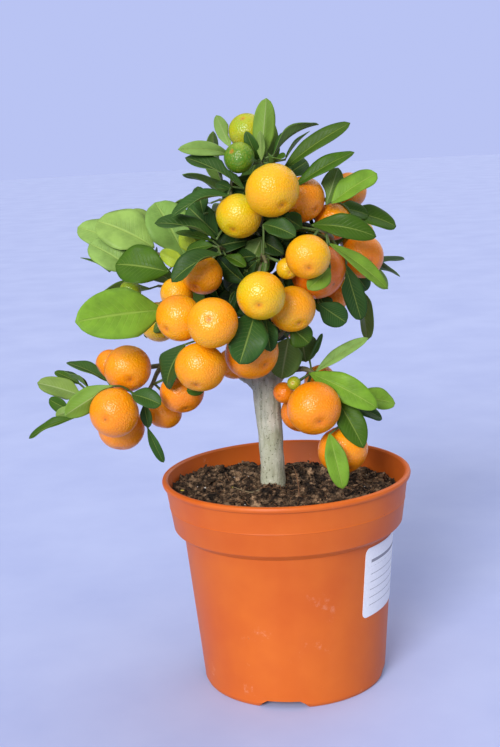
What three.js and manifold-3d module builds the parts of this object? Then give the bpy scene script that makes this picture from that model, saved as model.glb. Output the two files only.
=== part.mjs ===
// A small potted mandarin tree: a nursery pot with its paper label, potting soil, a trunk with
// its limbs, leafy shoots, and the fruit. Millimetres, +Z up, the front of the plant towards -Y.
import * as THREE from 'three';
import { mergeVertices } from 'three/addons/utils/BufferGeometryUtils.js';
import Module from 'manifold-3d';

const wasm = await Module();
wasm.setup();

// Driving dimensions.
const GAP = 0.3; // room left between two pieces that touch
const TRIM_TOLERANCE = 0.1; // how far a trimmed face may move when it is tidied
const POT_HEIGHT = 145;
const RIM_RADIUS = 85;
const LIP_DEPTH = 4; // the rolled lip stands this far down from the rim
const BAND_TOP_RADIUS = 83;
const BAND_FOOT_RADIUS = 78.5;
const BAND_FOOT_HEIGHT = 111;
const BODY_TOP_HEIGHT = 106;
const BODY_TOP_RADIUS = 72;
const BASE_RADIUS = 63;
const WALL = 2;
const FOOT_WIDTH = 4; // the ring that the pot stands on
const FLOOR_HEIGHT = 5; // underside of the raised floor
const POT_SIDES = 32;
const NOTCH = { count: 4, foot: 33, top: 24, height: 5.2, firstAngle: -98 };
const DRAIN = { count: 8, radius: 4, circle: 44 };
const LABEL = { low: 55, high: 104, firstAngle: -47, span: 50, thick: 0.5, steps: 6 };
const SOIL = { middle: 137, wall: 131 };
const FRUIT_ROUND = 9; // facets round a fruit
const FRUIT_RINGS = 5; // facets from its stalk end to its blossom end
const FRUIT_SQUASH = 0.93; // height over width of a fruit
const STALK_RADIUS = 0.9;
const FRUIT_STALK = [0.9, 0.9, 1.1, 2.4]; // radii from the twig to the calyx
const LEAF_STEM = [0.9, 0.8];
const TWIG = [1.9, 1.5, 1.1];
const TWIG_STEPS = 8;
const FREE_TWIG = 2; // a twig is free to bear leaves from this step on
const LEAF_HALF_THICKNESS = 0.5;
const LEAF_MARGIN = LEAF_HALF_THICKNESS + GAP; // from a leaf's middle to a fruit
const LEAF_HEEL = 0.05; // where the stem meets the midrib
const LEAF_STATIONS = [0, 0.3, 0.72, 1]; // along the blade, base to tip
const LEAF_OUTLINE = [0.08, 0.86, 0.78, 0.06]; // half width at each station, over the widest
const GOLDEN_ANGLE = 2.4;
const CROWN_MIDDLE = new THREE.Vector3(-12, 0, 280);
// The leaves that stand round a twig: where the first one is, how far off it they start, their
// mean length and its spread, and how each is shaped.
const ROUND_LEAVES = {
  from: 0.3, turn: 0.6, standoff: 7, length: 40, spread: 6, width: 0.42, fold: 20, arch: 7,
};

const looks = {
  pot: new THREE.MeshStandardMaterial({ color: 0xe0703a, roughness: 0.5, metalness: 0 }),
  label: new THREE.MeshStandardMaterial({ color: 0xf2f2f0, roughness: 0.7, metalness: 0 }),
  soil: new THREE.MeshStandardMaterial({ color: 0x3a2a20, roughness: 1, metalness: 0 }),
  bark: new THREE.MeshStandardMaterial({ color: 0x9a9a80, roughness: 0.85, metalness: 0 }),
  leaf: new THREE.MeshStandardMaterial({ color: 0x3f6b2a, roughness: 0.4, metalness: 0 }),
  peel: new THREE.MeshStandardMaterial({ color: 0xf59a1e, roughness: 0.45, metalness: 0 }),
};

// The fruit: centre, width, and the way its blossom end points.
const FRUIT = [
  [[-15, 4, 375], 24, [-2, -6, 8]],
  [[-20, -26, 359], 20, [-5, -7, 5]],
  [[0, -52, 339], 34, [4, -7, -6]],
  [[19, -16, 330], 30, [6, -6, -5]],
  [[-22, -36, 323], 29, [-3, -7, -6]],
  [[52, 22, 332], 24, [6, -4, 2]],
  [[39, -4, 314], 25, [5, -8, -3]],
  [[20, -62, 298], 28, [0, -9, -5]],
  [[27, -24, 284], 36, [6, -6, -5]],
  [[57, -4, 290], 29, [4, -9, -2]],
  [[-10, -74, 277], 30, [-1, -9, -3]],
  [[9, -48, 264], 30, [3, -7, -6]],
  [[36, -2, 262], 21, [5, -5, -7]],
  [[-47, -36, 287], 26, [-4, -7, -6]],
  [[-65, -26, 274], 22, [-7, -5, -5]],
  [[-62, -56, 263], 30, [-6, -7, -4]],
  [[-40, -82, 263], 31, [-1, -9, 3]],
  [[-50, -66, 233], 32, [-2, -7, -7]],
  [[-18, -46, 237], 35, [5, -7, -4]],
  [[-31, -18, 225], 22, [-2, -4, -9]],
  [[-65, -34, 211], 29, [2, -6, -8]],
  [[-79, -14, 193], 23, [-2, -3, -9]],
  [[-100, -28, 227], 31, [2, -9, -4]],
  [[-114, -4, 225], 22, [-8, -5, -3]],
  [[-108, -50, 203], 32, [-3, -9, -1]],
  [[-108, -20, 185], 31, [-1, -4, -9]],
  [[20, -47, 199], 35, [2, -9, -4]],
  [[12, -12, 188], 27, [-2, -5, -8]],
  [[1, -24, 205], 14, [-5, -8, -2]],
  [[8, -33, 213], 9, [-2, -9, 2]],
  [[38, -34, 167], 33, [2, -6, -7]],
  [[26, 4, 206], 22, [6, 4, -7]],
  [[-100, 20, 272], 15, [-5, -5, -7]],
  [[7, -42, 289], 14, [2, -9, -3]],
  [[6, 40, 322], 26, [0, 9, 3]],
  [[-26, 34, 304], 28, [-5, 8, -3]],
  [[36, 42, 261], 30, [5, 8, -4]],
  [[56, 34, 300], 26, [8, 6, -1]],
  [[-46, 44, 240], 30, [-3, 8, -5]],
  [[-84, 40, 246], 28, [-8, 6, -3]],
  [[-20, 46, 270], 28, [-1, 9, -3]],
  [[6, 54, 243], 30, [1, 8, -6]],
].map(([at, across, blossom]) => ({
  at: new THREE.Vector3(...at),
  radius: across / 2,
  blossom: new THREE.Vector3(...blossom).normalize(),
}));

// The trunk and its limbs: each is a list of [x, y, z, radius].
const LIMBS = [
  [[-9, 0, 78, 6], [-9, 0, 110, 8.2], [-9, 0, 138, 8.4], [-9, -1, 165, 8.3], [-10, -1, 190, 8.6],
    [-11, 0, 210, 9.6]],
  [[-11, 0, 206, 7], [-13, -1, 222, 5.4], [-12, -2, 242, 4.4], [-10, -2, 265, 3.8], [-10, -4, 290, 3.3],
    [-11, -6, 311, 2.8], [-8, -10, 334, 2]],
  [[-12, 0, 204, 6], [-28, 4, 214, 3.6], [-48, 8, 220, 2.6], [-70, 8, 221, 2]],
  [[-9, 0, 203, 5], [2, -3, 214, 3], [12, -9, 218, 2.2]],
  [[-10, 2, 205, 6], [-9, 14, 224, 3.4], [-4, 26, 242, 2.4]],
];
const KNOT = { at: [-12, 0, 209], radius: 9.5 }; // the healed pruning cut under the limbs

// The shoots. A twig is a list of points. A leaf is [base, tip, width, the way its upper side
// faces, the fold at its midrib in degrees, its arch as a percentage of its length]. Fruit are
// numbered from 1, and fill is how many more leaves stand round the twigs, if any.
const SHOOTS = {
  shoot_top: {
    twigs: [[[-8, -10, 330], [-6, -14, 344], [-6, -17, 357]]],
    fruit: [1, 2, 3],
    leaves: [
      [[-6, -18, 357], [-1, -14, 395], 16, 'B', 30, 4],
      [[-6, -21, 356], [-6, -23, 375], 6, 'B', 20, 0],
      [[-8, -16, 356], [-15, -22, 375], 9, 'F', 25, 10],
      [[1, -20, 358], [31, -10, 378], 17, 'UL', 45, 10],
      [[0, -22, 353], [6, -48, 359], 14, 'U', 60, 0],
      [[9, -6, 355], [26, 4, 373], 12, 'UL', 20, 5],
      [[-26, -2, 365], [-34, 0, 386], 10, 'B', 20, 5],
    ],
  },
  shoot_upper_right: {
    twigs: [
      [[-10, -5, 314], [-3, -6, 328], [2, -11, 344], [12, -18, 350]],
      [[-3, -6, 327], [8, 4, 326], [22, 7, 323], [31, 2, 327], [35, -10, 329], [38, -18, 328]],
    ],
    fruit: [4, 6, 7],
    leaves: [
      [[7, -24, 350], [50, -30, 378], 14, 'UF', 25, 3],
      [[14, -26, 339], [52, -30, 360], 13, 'UF', 25, 3],
      [[9, -16, 346], [24, -2, 354], 14, 'F', 15, 5],
      [[34, -22, 326], [43, -14, 349], 15, 'B', 15, 5],
      [[37, -24, 327], [67, -20, 345], 18, 'FU', 22, 4],
      [[41, -6, 323], [63, 4, 316], 14, 'FU', 15, 5],
      [[48, 4, 319], [82, 10, 308], 17, 'FU', 15, 6],
    ],
  },
  shoot_right: {
    twigs: [
      [[-10, -3, 285], [5, 0, 300], [18, -6, 306], [30, -14, 306], [37, -25, 305], [34, -36, 309],
        [28, -38, 312]],
      [[4, 0, 299], [10, 8, 284], [22, 10, 271], [40, 10, 276], [54, 8, 276]],
    ],
    fruit: [8, 9, 10, 13],
    leaves: [
      [[23, -36, 315], [64, -40, 306], 17, 'UFF', 25, 16],
      [[33, -40, 304], [71, -40, 273], 12, 'UF', 25, 4],
      [[60, 10, 285], [75, 18, 264], 10, 'F', 15, 5],
      [[51, 4, 280], [61, 12, 265], 12, 'F', 15, 5],
      [[44, -26, 289], [54, -20, 250], 15, 'F', 20, 6],
      [[26, -30, 264], [44, -26, 250], 17, 'F', 15, 5],
      [[34, -50, 289], [19, -62, 278], 14, 'F', 20, 8],
      [[27, -14, 267], [33, -12, 256], 13, 'F', 15, 5],
      [[18, -30, 313], [7, -30, 321], 14, 'F', 20, 5],
    ],
  },
  shoot_upper_left: {
    twigs: [[[-9, -4, 293], [-20, -8, 311], [-27, -14, 326], [-26, -16, 344]]],
    fruit: [5],
    leaves: [
      [[-26, -14, 361], [-57, -34, 367], 11, 'UFF', 20, 8],
      [[-17, -30, 339], [-54, -28, 361], 16, 'UUF', 38, 6],
      [[-26, -20, 339], [-36, -14, 343], 8, 'UF', 20, 5],
      [[-26, -36, 336], [-64, -48, 327], 15, 'UUF', 40, 10],
      [[-45, -22, 324], [-48, -18, 342], 11, 'F', 20, 5],
      [[-36, -22, 310], [-55, -14, 329], 20, 'F', 15, 5],
      [[-36, -34, 308], [-74, -44, 323], 17, 'UUF', 40, 8],
    ],
  },
  shoot_left_high: {
    twigs: [
      [[-10, -3, 270], [-22, -10, 290], [-33, -24, 301], [-36, -38, 304]],
      [[-32, -20, 299], [-46, -13, 300], [-57, -14, 295]],
    ],
    fruit: [14, 15],
    leaves: [
      [[-33, -50, 301], [-65, -62, 287], 19, 'UUF', 45, 10],
      [[-39, -34, 305], [-57, -28, 302], 10, 'UF', 25, 5],
      [[-39, -26, 307], [-64, -18, 314], 7, 'UF', 20, 5],
      [[-49, -14, 301], [-63, -6, 310], 12, 'F', 15, 5],
      [[-47, -12, 302], [-55, -4, 314], 10, 'F', 15, 5],
      [[-58, -28, 293], [-74, -26, 302], 11, 'F', 15, 5],
      [[-32, -30, 298], [-19, -36, 291], 9, 'UF', 20, 5],
    ],
  },
  shoot_left_back: {
    twigs: [[[-11, 0, 240], [-28, 6, 262], [-45, 8, 281], [-62, 8, 291], [-80, 12, 297], [-98, 20, 297]]],
    fruit: [33],
    leaves: [
      [[-61, 8, 295], [-79, 16, 331], 33, 'FU', 15, 8],
      [[-85, 24, 305], [-98, 30, 326], 21, 'FU', 15, 5],
      [[-81, 12, 301], [-119, 18, 321], 34, 'FU', 12, 6],
      [[-103, 28, 302], [-135, 34, 316], 24, 'FU', 15, 5],
      [[-93, 2, 286], [-124, 8, 307], 26, 'FU', 15, 5],
      [[-110, -4, 288], [-129, 0, 299], 6, 'U', 15, 5],
      [[-70, -12, 287], [-106, -6, 294], 30, 'FFU', 18, 6],
    ],
  },
  shoot_left: {
    twigs: [[[-12, 0, 230], [-26, -12, 248], [-38, -28, 256], [-45, -44, 251], [-48, -54, 249]]],
    fruit: [16, 17, 18, 20],
    leaves: [
      [[-72, -40, 266], [-125, -70, 266], 35, 'FFU', 8, 5],
      [[-59, -58, 247], [-74, -48, 217], 20, 'FL', 20, 10],
      [[-59, -40, 239], [-70, -36, 225], 12, 'F', 20, 5],
      [[-48, -48, 217], [-60, -56, 216], 9, 'F', 15, 5],
    ],
  },
  shoot_front: {
    twigs: [
      [[-10, -3, 280], [-9, -20, 292], [-8, -38, 298], [-6, -52, 294]],
      [[-9, -20, 292], [-14, -30, 276], [-14, -44, 264], [-14, -56, 264]],
    ],
    fruit: [11, 12, 34],
    leaves: [
      [[-7, -46, 318], [13, -58, 311], 15, 'UFF', 30, 10],
      [[-8, -22, 308], [-19, -26, 286], 22, 'B', 15, 5],
      [[-14, -64, 266], [-25, -82, 237], 25, 'F', 15, 8],
      [[-9, -46, 286], [-5, -46, 295], 5, 'F', 10, 0],
    ],
  },
  shoot_low_front: {
    twigs: [[[-11, 0, 222], [-4, -12, 236], [3, -24, 246], [4, -34, 250]]],
    fruit: [19],
    leaves: [
      [[-8, -54, 260], [-6, -62, 240], 13, 'F', 15, 5],
      [[8, -40, 251], [19, -40, 240], 17, 'F', 15, 5],
      [[6, -26, 242], [0, -20, 214], 24, 'B', 15, 5],
      [[14, -14, 243], [17, -4, 221], 20, 'B', 15, 5],
    ],
  },
  shoot_left_low: {
    twigs: [
      [[-68, 8, 221], [-90, 3, 221], [-103, -9, 216], [-118, -22, 212], [-134, -30, 208]],
      [[-80, 6, 221], [-83, -6, 219], [-86, -18, 213], [-90, -32, 209]],
    ],
    fruit: [21, 22, 23, 24, 25, 26],
    leaves: [
      [[-132, -26, 210], [-163, -6, 216], 15, 'B', 20, 5],
      [[-135, -8, 214], [-153, 0, 222], 8, 'UF', 20, 5],
      [[-125, -34, 216], [-140, -36, 229], 9, 'U', 40, 3],
      [[-115, -14, 216], [-142, -12, 231], 12, 'UUF', 35, 3],
      [[-108, -46, 220], [-139, -56, 204], 17, 'B', 20, 6],
      [[-141, -20, 199], [-156, -14, 206], 10, 'F', 15, 5],
      [[-136, -36, 203], [-148, -38, 200], 8, 'B', 15, 5],
      [[-135, -42, 199], [-166, -44, 188], 10, 'UUF', 30, 5],
      [[-97, -48, 214], [-77, -56, 208], 14, 'UF', 22, 8],
      [[-90, -36, 205], [-88, -38, 189], 8, 'F', 20, 5],
      [[-89, -36, 189], [-80, -34, 164], 7, 'F', 20, 8],
    ],
  },
  shoot_right_low: {
    twigs: [[[10, -8, 217], [17, -15, 218], [27, -20, 212], [38, -20, 204], [46, -22, 194], [46, -27, 188]]],
    fruit: [27, 28, 29, 30, 31, 32],
    leaves: [
      [[19, -10, 223], [29, -6, 240], 7, 'UR', 15, 0],
      [[22, -12, 215], [59, -4, 236], 10, 'UF', 15, 5],
      [[18, -26, 218], [61, -42, 196], 19, 'UFF', 20, 10],
      [[46, -18, 198], [75, -14, 192], 17, 'UF', 18, 6],
      [[45, -12, 192], [67, -6, 180], 12, 'UF', 15, 5],
      [[34, -30, 203], [51, -46, 171], 19, 'UFF', 22, 8],
      [[29, -50, 183], [36, -62, 149], 15, 'F', 25, 5],
    ],
  },
  shoot_back_high: {
    twigs: [
      [[-10, -4, 296], [-10, 10, 316], [-4, 24, 334], [0, 36, 344]],
      [[-10, 8, 313], [-22, 16, 324], [-36, 26, 330]],
    ],
    fruit: [35, 36],
    fill: 10,
  },
  shoot_back_right: {
    twigs: [[[-10, -2, 262], [10, 20, 280], [30, 34, 286], [44, 40, 280], [56, 52, 268]]],
    fruit: [37, 38, 42],
    fill: 9,
  },
  shoot_back_left: {
    twigs: [[[-12, -1, 236], [-24, 22, 252], [-44, 32, 264], [-64, 40, 268], [-84, 52, 270]]],
    fruit: [39, 40, 41],
    fill: 10,
  },
};

const WAYS = { U: [0, 0, 1], F: [0, -1, 0], B: [0, 1, 0], L: [-1, 0, 0], R: [1, 0, 0] };

const vector = (point) => new THREE.Vector3(point[0], point[1], point[2]);

// The unit vector along a word of direction letters: up, front, back, left, right.
function wayOf(letters) {
  const way = new THREE.Vector3();
  for (const letter of letters) way.add(vector(WAYS[letter]));
  return way.normalize();
}

// A closed geometry as a solid, with its faces turned outwards.
function solidOf(geometry) {
  const bare = geometry.index ? geometry.clone() : geometry;
  bare.deleteAttribute('normal');
  bare.deleteAttribute('uv');
  const merged = mergeVertices(bare, 1e-4);
  const at = merged.attributes.position.array;
  const faces = [];
  let volume = 0;
  for (let i = 0; i < merged.index.count; i += 3) {
    const face = [merged.index.getX(i), merged.index.getX(i + 1), merged.index.getX(i + 2)];
    if (new Set(face).size < 3) continue;
    const [a, b, c] = face.map((v) => new THREE.Vector3(at[3 * v], at[3 * v + 1], at[3 * v + 2]));
    volume += a.dot(b.cross(c));
    faces.push(face);
  }
  const triVerts = new Uint32Array(faces.flatMap((f) => (volume < 0 ? [f[0], f[2], f[1]] : f)));
  return new wasm.Manifold(new wasm.Mesh({ numProp: 3, vertProperties: at, triVerts }));
}

function meshOf(name, solid, material) {
  const { vertProperties, triVerts } = solid.getMesh();
  const geometry = new THREE.BufferGeometry();
  geometry.setAttribute('position', new THREE.BufferAttribute(new Float32Array(vertProperties), 3));
  geometry.setIndex(new THREE.BufferAttribute(new Uint32Array(triVerts), 1));
  geometry.computeVertexNormals();
  const mesh = new THREE.Mesh(geometry, material);
  mesh.name = name;
  return mesh;
}

// A profile of [radius, height] points turned round the Z axis.
function turned(profile, sides) {
  const points = profile.map(([radius, height]) => new THREE.Vector2(radius, height));
  return solidOf(new THREE.LatheGeometry(points, sides).rotateX(Math.PI / 2));
}

// A prism whose rings are put in place by ring(step, x, z), x and z being on the unit circle.
function sweep(sides, steps, ring) {
  const geometry = new THREE.CylinderGeometry(1, 1, 1, sides, steps);
  const at = geometry.attributes.position;
  for (let i = 0; i < at.count; i += 1) {
    const place = ring(Math.round((at.getY(i) + 0.5) * steps), at.getX(i), at.getZ(i));
    at.setXYZ(i, place.x, place.y, place.z);
  }
  return solidOf(geometry);
}

// A point moved out of every fruit, to stand margin clear of the peel.
function clearOfFruit(point, margin, spared) {
  const moved = point.clone();
  for (let pass = 0; pass < 2; pass += 1) {
    for (const fruit of FRUIT) {
      const away = moved.clone().sub(fruit.at);
      const reach = fruit.radius + margin;
      if (fruit !== spared && away.length() < reach) {
        moved.copy(fruit.at).addScaledVector(away.normalize(), reach);
      }
    }
  }
  return moved;
}

// A round branch through points, its radius read from radii, spaced evenly along it.
function branch(points, radii, sides, steps, grow) {
  const curve = new THREE.CatmullRomCurve3(points);
  const frames = curve.computeFrenetFrames(steps, false);
  return sweep(sides, steps, (step, x, z) => {
    const where = (step / steps) * (radii.length - 1);
    const low = Math.min(Math.floor(where), radii.length - 2);
    const radius = THREE.MathUtils.lerp(radii[low], radii[low + 1], where - low) + grow;
    const end = (step === 0 ? -grow : 0) + (step === steps ? grow : 0);
    return curve.getPoint(step / steps)
      .addScaledVector(frames.tangents[step], end)
      .addScaledVector(frames.binormals[step], x * radius)
      .addScaledVector(frames.normals[step], z * radius);
  });
}

// A leaf's own directions, and the points of its midrib.
function leafLines([base, tip, , faces, , arch]) {
  const from = vector(base);
  const along = vector(tip).sub(from);
  const length = along.length();
  along.normalize();
  const facing = typeof faces === 'string' ? wayOf(faces) : faces;
  const up = facing.clone().addScaledVector(along, -facing.dot(along)).normalize();
  const side = along.clone().cross(up);
  const rib = (t) => from.clone()
    .addScaledVector(along, length * t)
    .addScaledVector(up, length * (arch / 100) * 4 * t * (1 - t));
  return { along, up, side, rib };
}

// A leaf blade: a thin lens, folded up at the midrib and arched along its length.
function blade(leaf, grow) {
  const { along, up, side, rib } = leafLines(leaf);
  const [, , width, , fold] = leaf;
  const lean = THREE.MathUtils.degToRad(fold);
  const thick = LEAF_HALF_THICKNESS + grow;
  const steps = LEAF_STATIONS.length - 1;
  return sweep(4, steps, (step, x, z) => {
    const t = LEAF_STATIONS[step];
    const half = (width / 2) * LEAF_OUTLINE[step] + grow;
    const end = (step === 0 ? -grow : 0) + (step === steps ? grow : 0);
    const settled = clearOfFruit(rib(t).addScaledVector(along, end), LEAF_MARGIN);
    if (Math.abs(x) < 0.5) return settled.addScaledVector(up, z * thick);
    return clearOfFruit(settled
      .addScaledVector(side, x * half * Math.cos(lean))
      .addScaledVector(up, half * Math.sin(lean)), LEAF_MARGIN);
  });
}

// The leaves that stand round a twig, each a golden angle on from the last.
function leavesRound(twig, count) {
  const { from, turn, standoff, length, spread, width, fold, arch } = ROUND_LEAVES;
  const curve = new THREE.CatmullRomCurve3(twig.map(vector));
  return Array.from({ length: count }, (_, i) => {
    const t = from + ((1 - from) * (i + 0.5)) / count;
    const start = curve.getPointAt(t);
    const along = curve.getTangentAt(t);
    const side = along.clone().cross(new THREE.Vector3(0, 0, 1)).normalize();
    const over = side.clone().cross(along);
    const outward = start.clone().sub(CROWN_MIDDLE).normalize();
    const angle = GOLDEN_ANGLE * i + turn;
    const way = side.multiplyScalar(Math.cos(angle))
      .addScaledVector(over, Math.sin(angle))
      .addScaledVector(along, 0.5)
      .addScaledVector(outward, 0.4)
      .normalize();
    const base = start.addScaledVector(way, standoff);
    const long = length + spread * Math.sin(3 * i);
    const tip = base.clone().addScaledVector(way, long);
    const faces = outward.add(new THREE.Vector3(0, 0, 0.9)).normalize();
    return [base.toArray(), tip.toArray(), width * long, faces, fold, arch];
  });
}

// The nearest of the twigs' points to a place.
function nearest(twigPoints, place) {
  return twigPoints.reduce((best, point) => (
    point.distanceTo(place) < best.distanceTo(place) ? point : best));
}

// A thin stem from the twigs to a place, led round the fruit in its way.
function stem(twigPoints, place, radii, grow, spared) {
  const start = nearest(twigPoints, place);
  const margin = 2 * STALK_RADIUS + GAP;
  const bends = [0.35, 0.7].map((t) => clearOfFruit(start.clone().lerp(place, t), margin, spared));
  return branch([start, ...bends, place], radii, 3, 3, grow);
}

function shoot({ twigs, fruit, fill = 0, leaves = [] }, grow) {
  const routes = twigs.map((twig) => (
    new THREE.CatmullRomCurve3(twig.map(vector)).getSpacedPoints(TWIG_STEPS)
      .map((point, i) => (i === 0 ? point : clearOfFruit(point, TWIG[0])))));
  const twigPoints = routes.flatMap((route) => route.slice(FREE_TWIG));
  const pieces = routes.map((route) => branch(route, TWIG, 5, TWIG_STEPS, grow));
  const more = twigs.flatMap((twig) => leavesRound(twig, Math.ceil(fill / twigs.length)));
  for (const leaf of [...leaves, ...more]) {
    const heel = clearOfFruit(leafLines(leaf).rib(LEAF_HEEL), LEAF_MARGIN);
    pieces.push(blade(leaf, grow), stem(twigPoints, heel, LEAF_STEM, grow));
  }
  for (const number of fruit) {
    const { at, radius, blossom } = FRUIT[number - 1];
    const crown = at.clone().addScaledVector(blossom, -radius * FRUIT_SQUASH);
    pieces.push(stem(twigPoints, crown, FRUIT_STALK, grow, FRUIT[number - 1]));
  }
  return wasm.Manifold.union(pieces);
}

function mandarin({ at, radius, blossom }, grow) {
  const wide = radius + grow;
  const high = wide * FRUIT_SQUASH;
  const profile = [];
  for (let i = 0; i <= FRUIT_RINGS; i += 1) {
    const angle = Math.PI * (i / FRUIT_RINGS - 0.5);
    const across = i % FRUIT_RINGS ? wide * Math.cos(angle) : 0;
    profile.push(new THREE.Vector2(across, high * Math.sin(angle)));
  }
  const turn = new THREE.Quaternion().setFromUnitVectors(new THREE.Vector3(0, -1, 0), blossom);
  const geometry = new THREE.LatheGeometry(profile, FRUIT_ROUND);
  return solidOf(geometry.applyQuaternion(turn).translate(at.x, at.y, at.z));
}

function trunkAndLimbs(grow) {
  const pieces = LIMBS.map((limb, i) => (
    branch(limb.map(vector), limb.map((point) => point[3]), i ? 6 : 10, i ? 2 * limb.length - 2 : 5, grow)));
  const knot = new THREE.SphereGeometry(KNOT.radius + grow, 10, 6).scale(1, 1, 0.8);
  pieces.push(solidOf(knot.translate(...KNOT.at)));
  return wasm.Manifold.union(pieces);
}

const bodyRadiusAt = (height) => (
  THREE.MathUtils.mapLinear(height, 0, BODY_TOP_HEIGHT, BASE_RADIUS, BODY_TOP_RADIUS));

const innerWall = [
  [bodyRadiusAt(FLOOR_HEIGHT) - WALL, FLOOR_HEIGHT + WALL],
  [BODY_TOP_RADIUS - WALL, BODY_TOP_HEIGHT],
  [BAND_FOOT_RADIUS - WALL, BAND_FOOT_HEIGHT + WALL / 2],
  [BAND_TOP_RADIUS - WALL, POT_HEIGHT - WALL / 2],
];

function notchCutter(angle) {
  const { foot, top, height } = NOTCH;
  const outline = new THREE.Shape([
    new THREE.Vector2(-foot / 2, -1),
    new THREE.Vector2(foot / 2, -1),
    new THREE.Vector2(foot / 2, 0),
    new THREE.Vector2(top / 2, height),
    new THREE.Vector2(-top / 2, height),
    new THREE.Vector2(-foot / 2, 0),
  ]);
  const geometry = new THREE.ExtrudeGeometry(outline, { depth: 4 * FOOT_WIDTH, bevelEnabled: false });
  geometry.rotateX(Math.PI / 2).translate(0, BASE_RADIUS + 2 * FOOT_WIDTH, 0);
  return solidOf(geometry.rotateZ(THREE.MathUtils.degToRad(angle - 90)));
}

function pot() {
  const solid = turned([
    [0, FLOOR_HEIGHT],
    [BASE_RADIUS - FOOT_WIDTH, FLOOR_HEIGHT],
    [BASE_RADIUS - FOOT_WIDTH, 0],
    [BASE_RADIUS - 1, 0],
    [bodyRadiusAt(3), 3],
    [BODY_TOP_RADIUS, BODY_TOP_HEIGHT],
    [BAND_FOOT_RADIUS - 1, BAND_FOOT_HEIGHT - 1],
    [BAND_FOOT_RADIUS, BAND_FOOT_HEIGHT],
    [BAND_TOP_RADIUS, POT_HEIGHT - LIP_DEPTH],
    [RIM_RADIUS, POT_HEIGHT - LIP_DEPTH + 1],
    [RIM_RADIUS, POT_HEIGHT - 1],
    [RIM_RADIUS - 1, POT_HEIGHT],
    [BAND_TOP_RADIUS - WALL + 1, POT_HEIGHT],
    ...innerWall.toReversed(),
    [0, FLOOR_HEIGHT + WALL],
  ], POT_SIDES);
  const cutters = [];
  for (let i = 0; i < NOTCH.count; i += 1) {
    cutters.push(notchCutter(NOTCH.firstAngle + (360 * i) / NOTCH.count));
  }
  for (let i = 0; i < DRAIN.count; i += 1) {
    const turn = (2 * Math.PI * i) / DRAIN.count;
    const hole = new THREE.CylinderGeometry(DRAIN.radius, DRAIN.radius, 4 * WALL, 8).rotateX(Math.PI / 2);
    hole.translate(DRAIN.circle * Math.cos(turn), DRAIN.circle * Math.sin(turn), FLOOR_HEIGHT + WALL / 2);
    cutters.push(solidOf(hole));
  }
  return solid.subtract(wasm.Manifold.union(cutters));
}

// The paper label, bent round the body of the pot under the band.
function label() {
  const { low, high, firstAngle, span, thick, steps } = LABEL;
  const geometry = new THREE.BoxGeometry(1, 1, 1, steps, 1, 1);
  const at = geometry.attributes.position;
  for (let i = 0; i < at.count; i += 1) {
    const turn = THREE.MathUtils.degToRad(firstAngle + span * (at.getX(i) + 0.5));
    const height = THREE.MathUtils.lerp(low, high, at.getY(i) + 0.5);
    const radius = bodyRadiusAt(height) + GAP + thick * (at.getZ(i) + 0.5);
    at.setXYZ(i, radius * Math.cos(turn), radius * Math.sin(turn), height);
  }
  return solidOf(geometry);
}

function pottingSoil(trunkSocket) {
  const [floor, body, band] = innerWall;
  const solid = turned([
    [0, floor[1] + GAP],
    [floor[0] - GAP, floor[1] + GAP],
    [body[0] - GAP, body[1] + GAP],
    [band[0] - GAP, band[1] + GAP],
    [band[0] + 1.5, SOIL.wall],
    [0.7 * band[0], SOIL.middle - 3],
    [0.3 * band[0], SOIL.middle],
    [0, SOIL.middle],
  ], POT_SIDES);
  return solid.subtract(trunkSocket);
}

// The largest body of a trimmed solid, without the needless fine facets that trimming leaves.
function tidied(solid) {
  const body = solid.decompose().reduce((a, b) => (b.volume() > a.volume() ? b : a));
  return body.asOriginal().simplify(TRIM_TOLERANCE);
}

const tree = new THREE.Group();
tree.add(meshOf('pot', pot(), looks.pot));
tree.add(meshOf('paper_label', label(), looks.label));
tree.add(meshOf('potting_soil', pottingSoil(trunkAndLimbs(GAP)), looks.soil));
tree.add(meshOf('trunk_and_limbs', tidied(trunkAndLimbs(0)), looks.bark));
FRUIT.forEach((fruit, i) => {
  const name = `mandarin_${String(i + 1).padStart(2, '0')}`;
  tree.add(meshOf(name, mandarin(fruit, 0), looks.peel));
});

// Each shoot is trimmed clear of the wood, the fruit and the shoots made before it.
let taken = wasm.Manifold.union([trunkAndLimbs(GAP), ...FRUIT.map((fruit) => mandarin(fruit, GAP))]);
for (const [name, plan] of Object.entries(SHOOTS)) {
  tree.add(meshOf(name, tidied(shoot(plan, 0).subtract(taken)), looks.leaf));
  taken = taken.add(shoot(plan, GAP));
}

// The origin goes to the middle of the whole plant's footprint, on the ground.
const box = new THREE.Box3().setFromObject(tree);
const middle = box.getCenter(new THREE.Vector3());
tree.position.set(-middle.x, -middle.y, -box.min.z);

export default tree;
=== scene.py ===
import math
import random

import bmesh
import bpy
from mathutils import Matrix, Vector, noise


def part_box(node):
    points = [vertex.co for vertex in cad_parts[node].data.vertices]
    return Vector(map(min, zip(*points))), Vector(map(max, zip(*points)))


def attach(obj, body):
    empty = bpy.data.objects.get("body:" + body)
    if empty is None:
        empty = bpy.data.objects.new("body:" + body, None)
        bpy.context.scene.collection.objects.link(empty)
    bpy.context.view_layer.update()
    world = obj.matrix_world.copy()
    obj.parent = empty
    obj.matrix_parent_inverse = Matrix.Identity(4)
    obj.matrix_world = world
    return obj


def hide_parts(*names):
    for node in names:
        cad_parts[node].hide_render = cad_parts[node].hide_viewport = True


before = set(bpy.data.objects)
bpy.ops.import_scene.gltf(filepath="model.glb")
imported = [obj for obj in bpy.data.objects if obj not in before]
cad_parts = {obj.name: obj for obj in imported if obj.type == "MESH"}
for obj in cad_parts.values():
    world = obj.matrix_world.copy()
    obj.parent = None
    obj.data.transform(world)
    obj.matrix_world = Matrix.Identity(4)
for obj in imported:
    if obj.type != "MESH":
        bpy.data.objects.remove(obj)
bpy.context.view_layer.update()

# The plant's places are in millimetres from the pot's own axis, on the ground, as in the CAD part.
MM = 0.001
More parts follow.
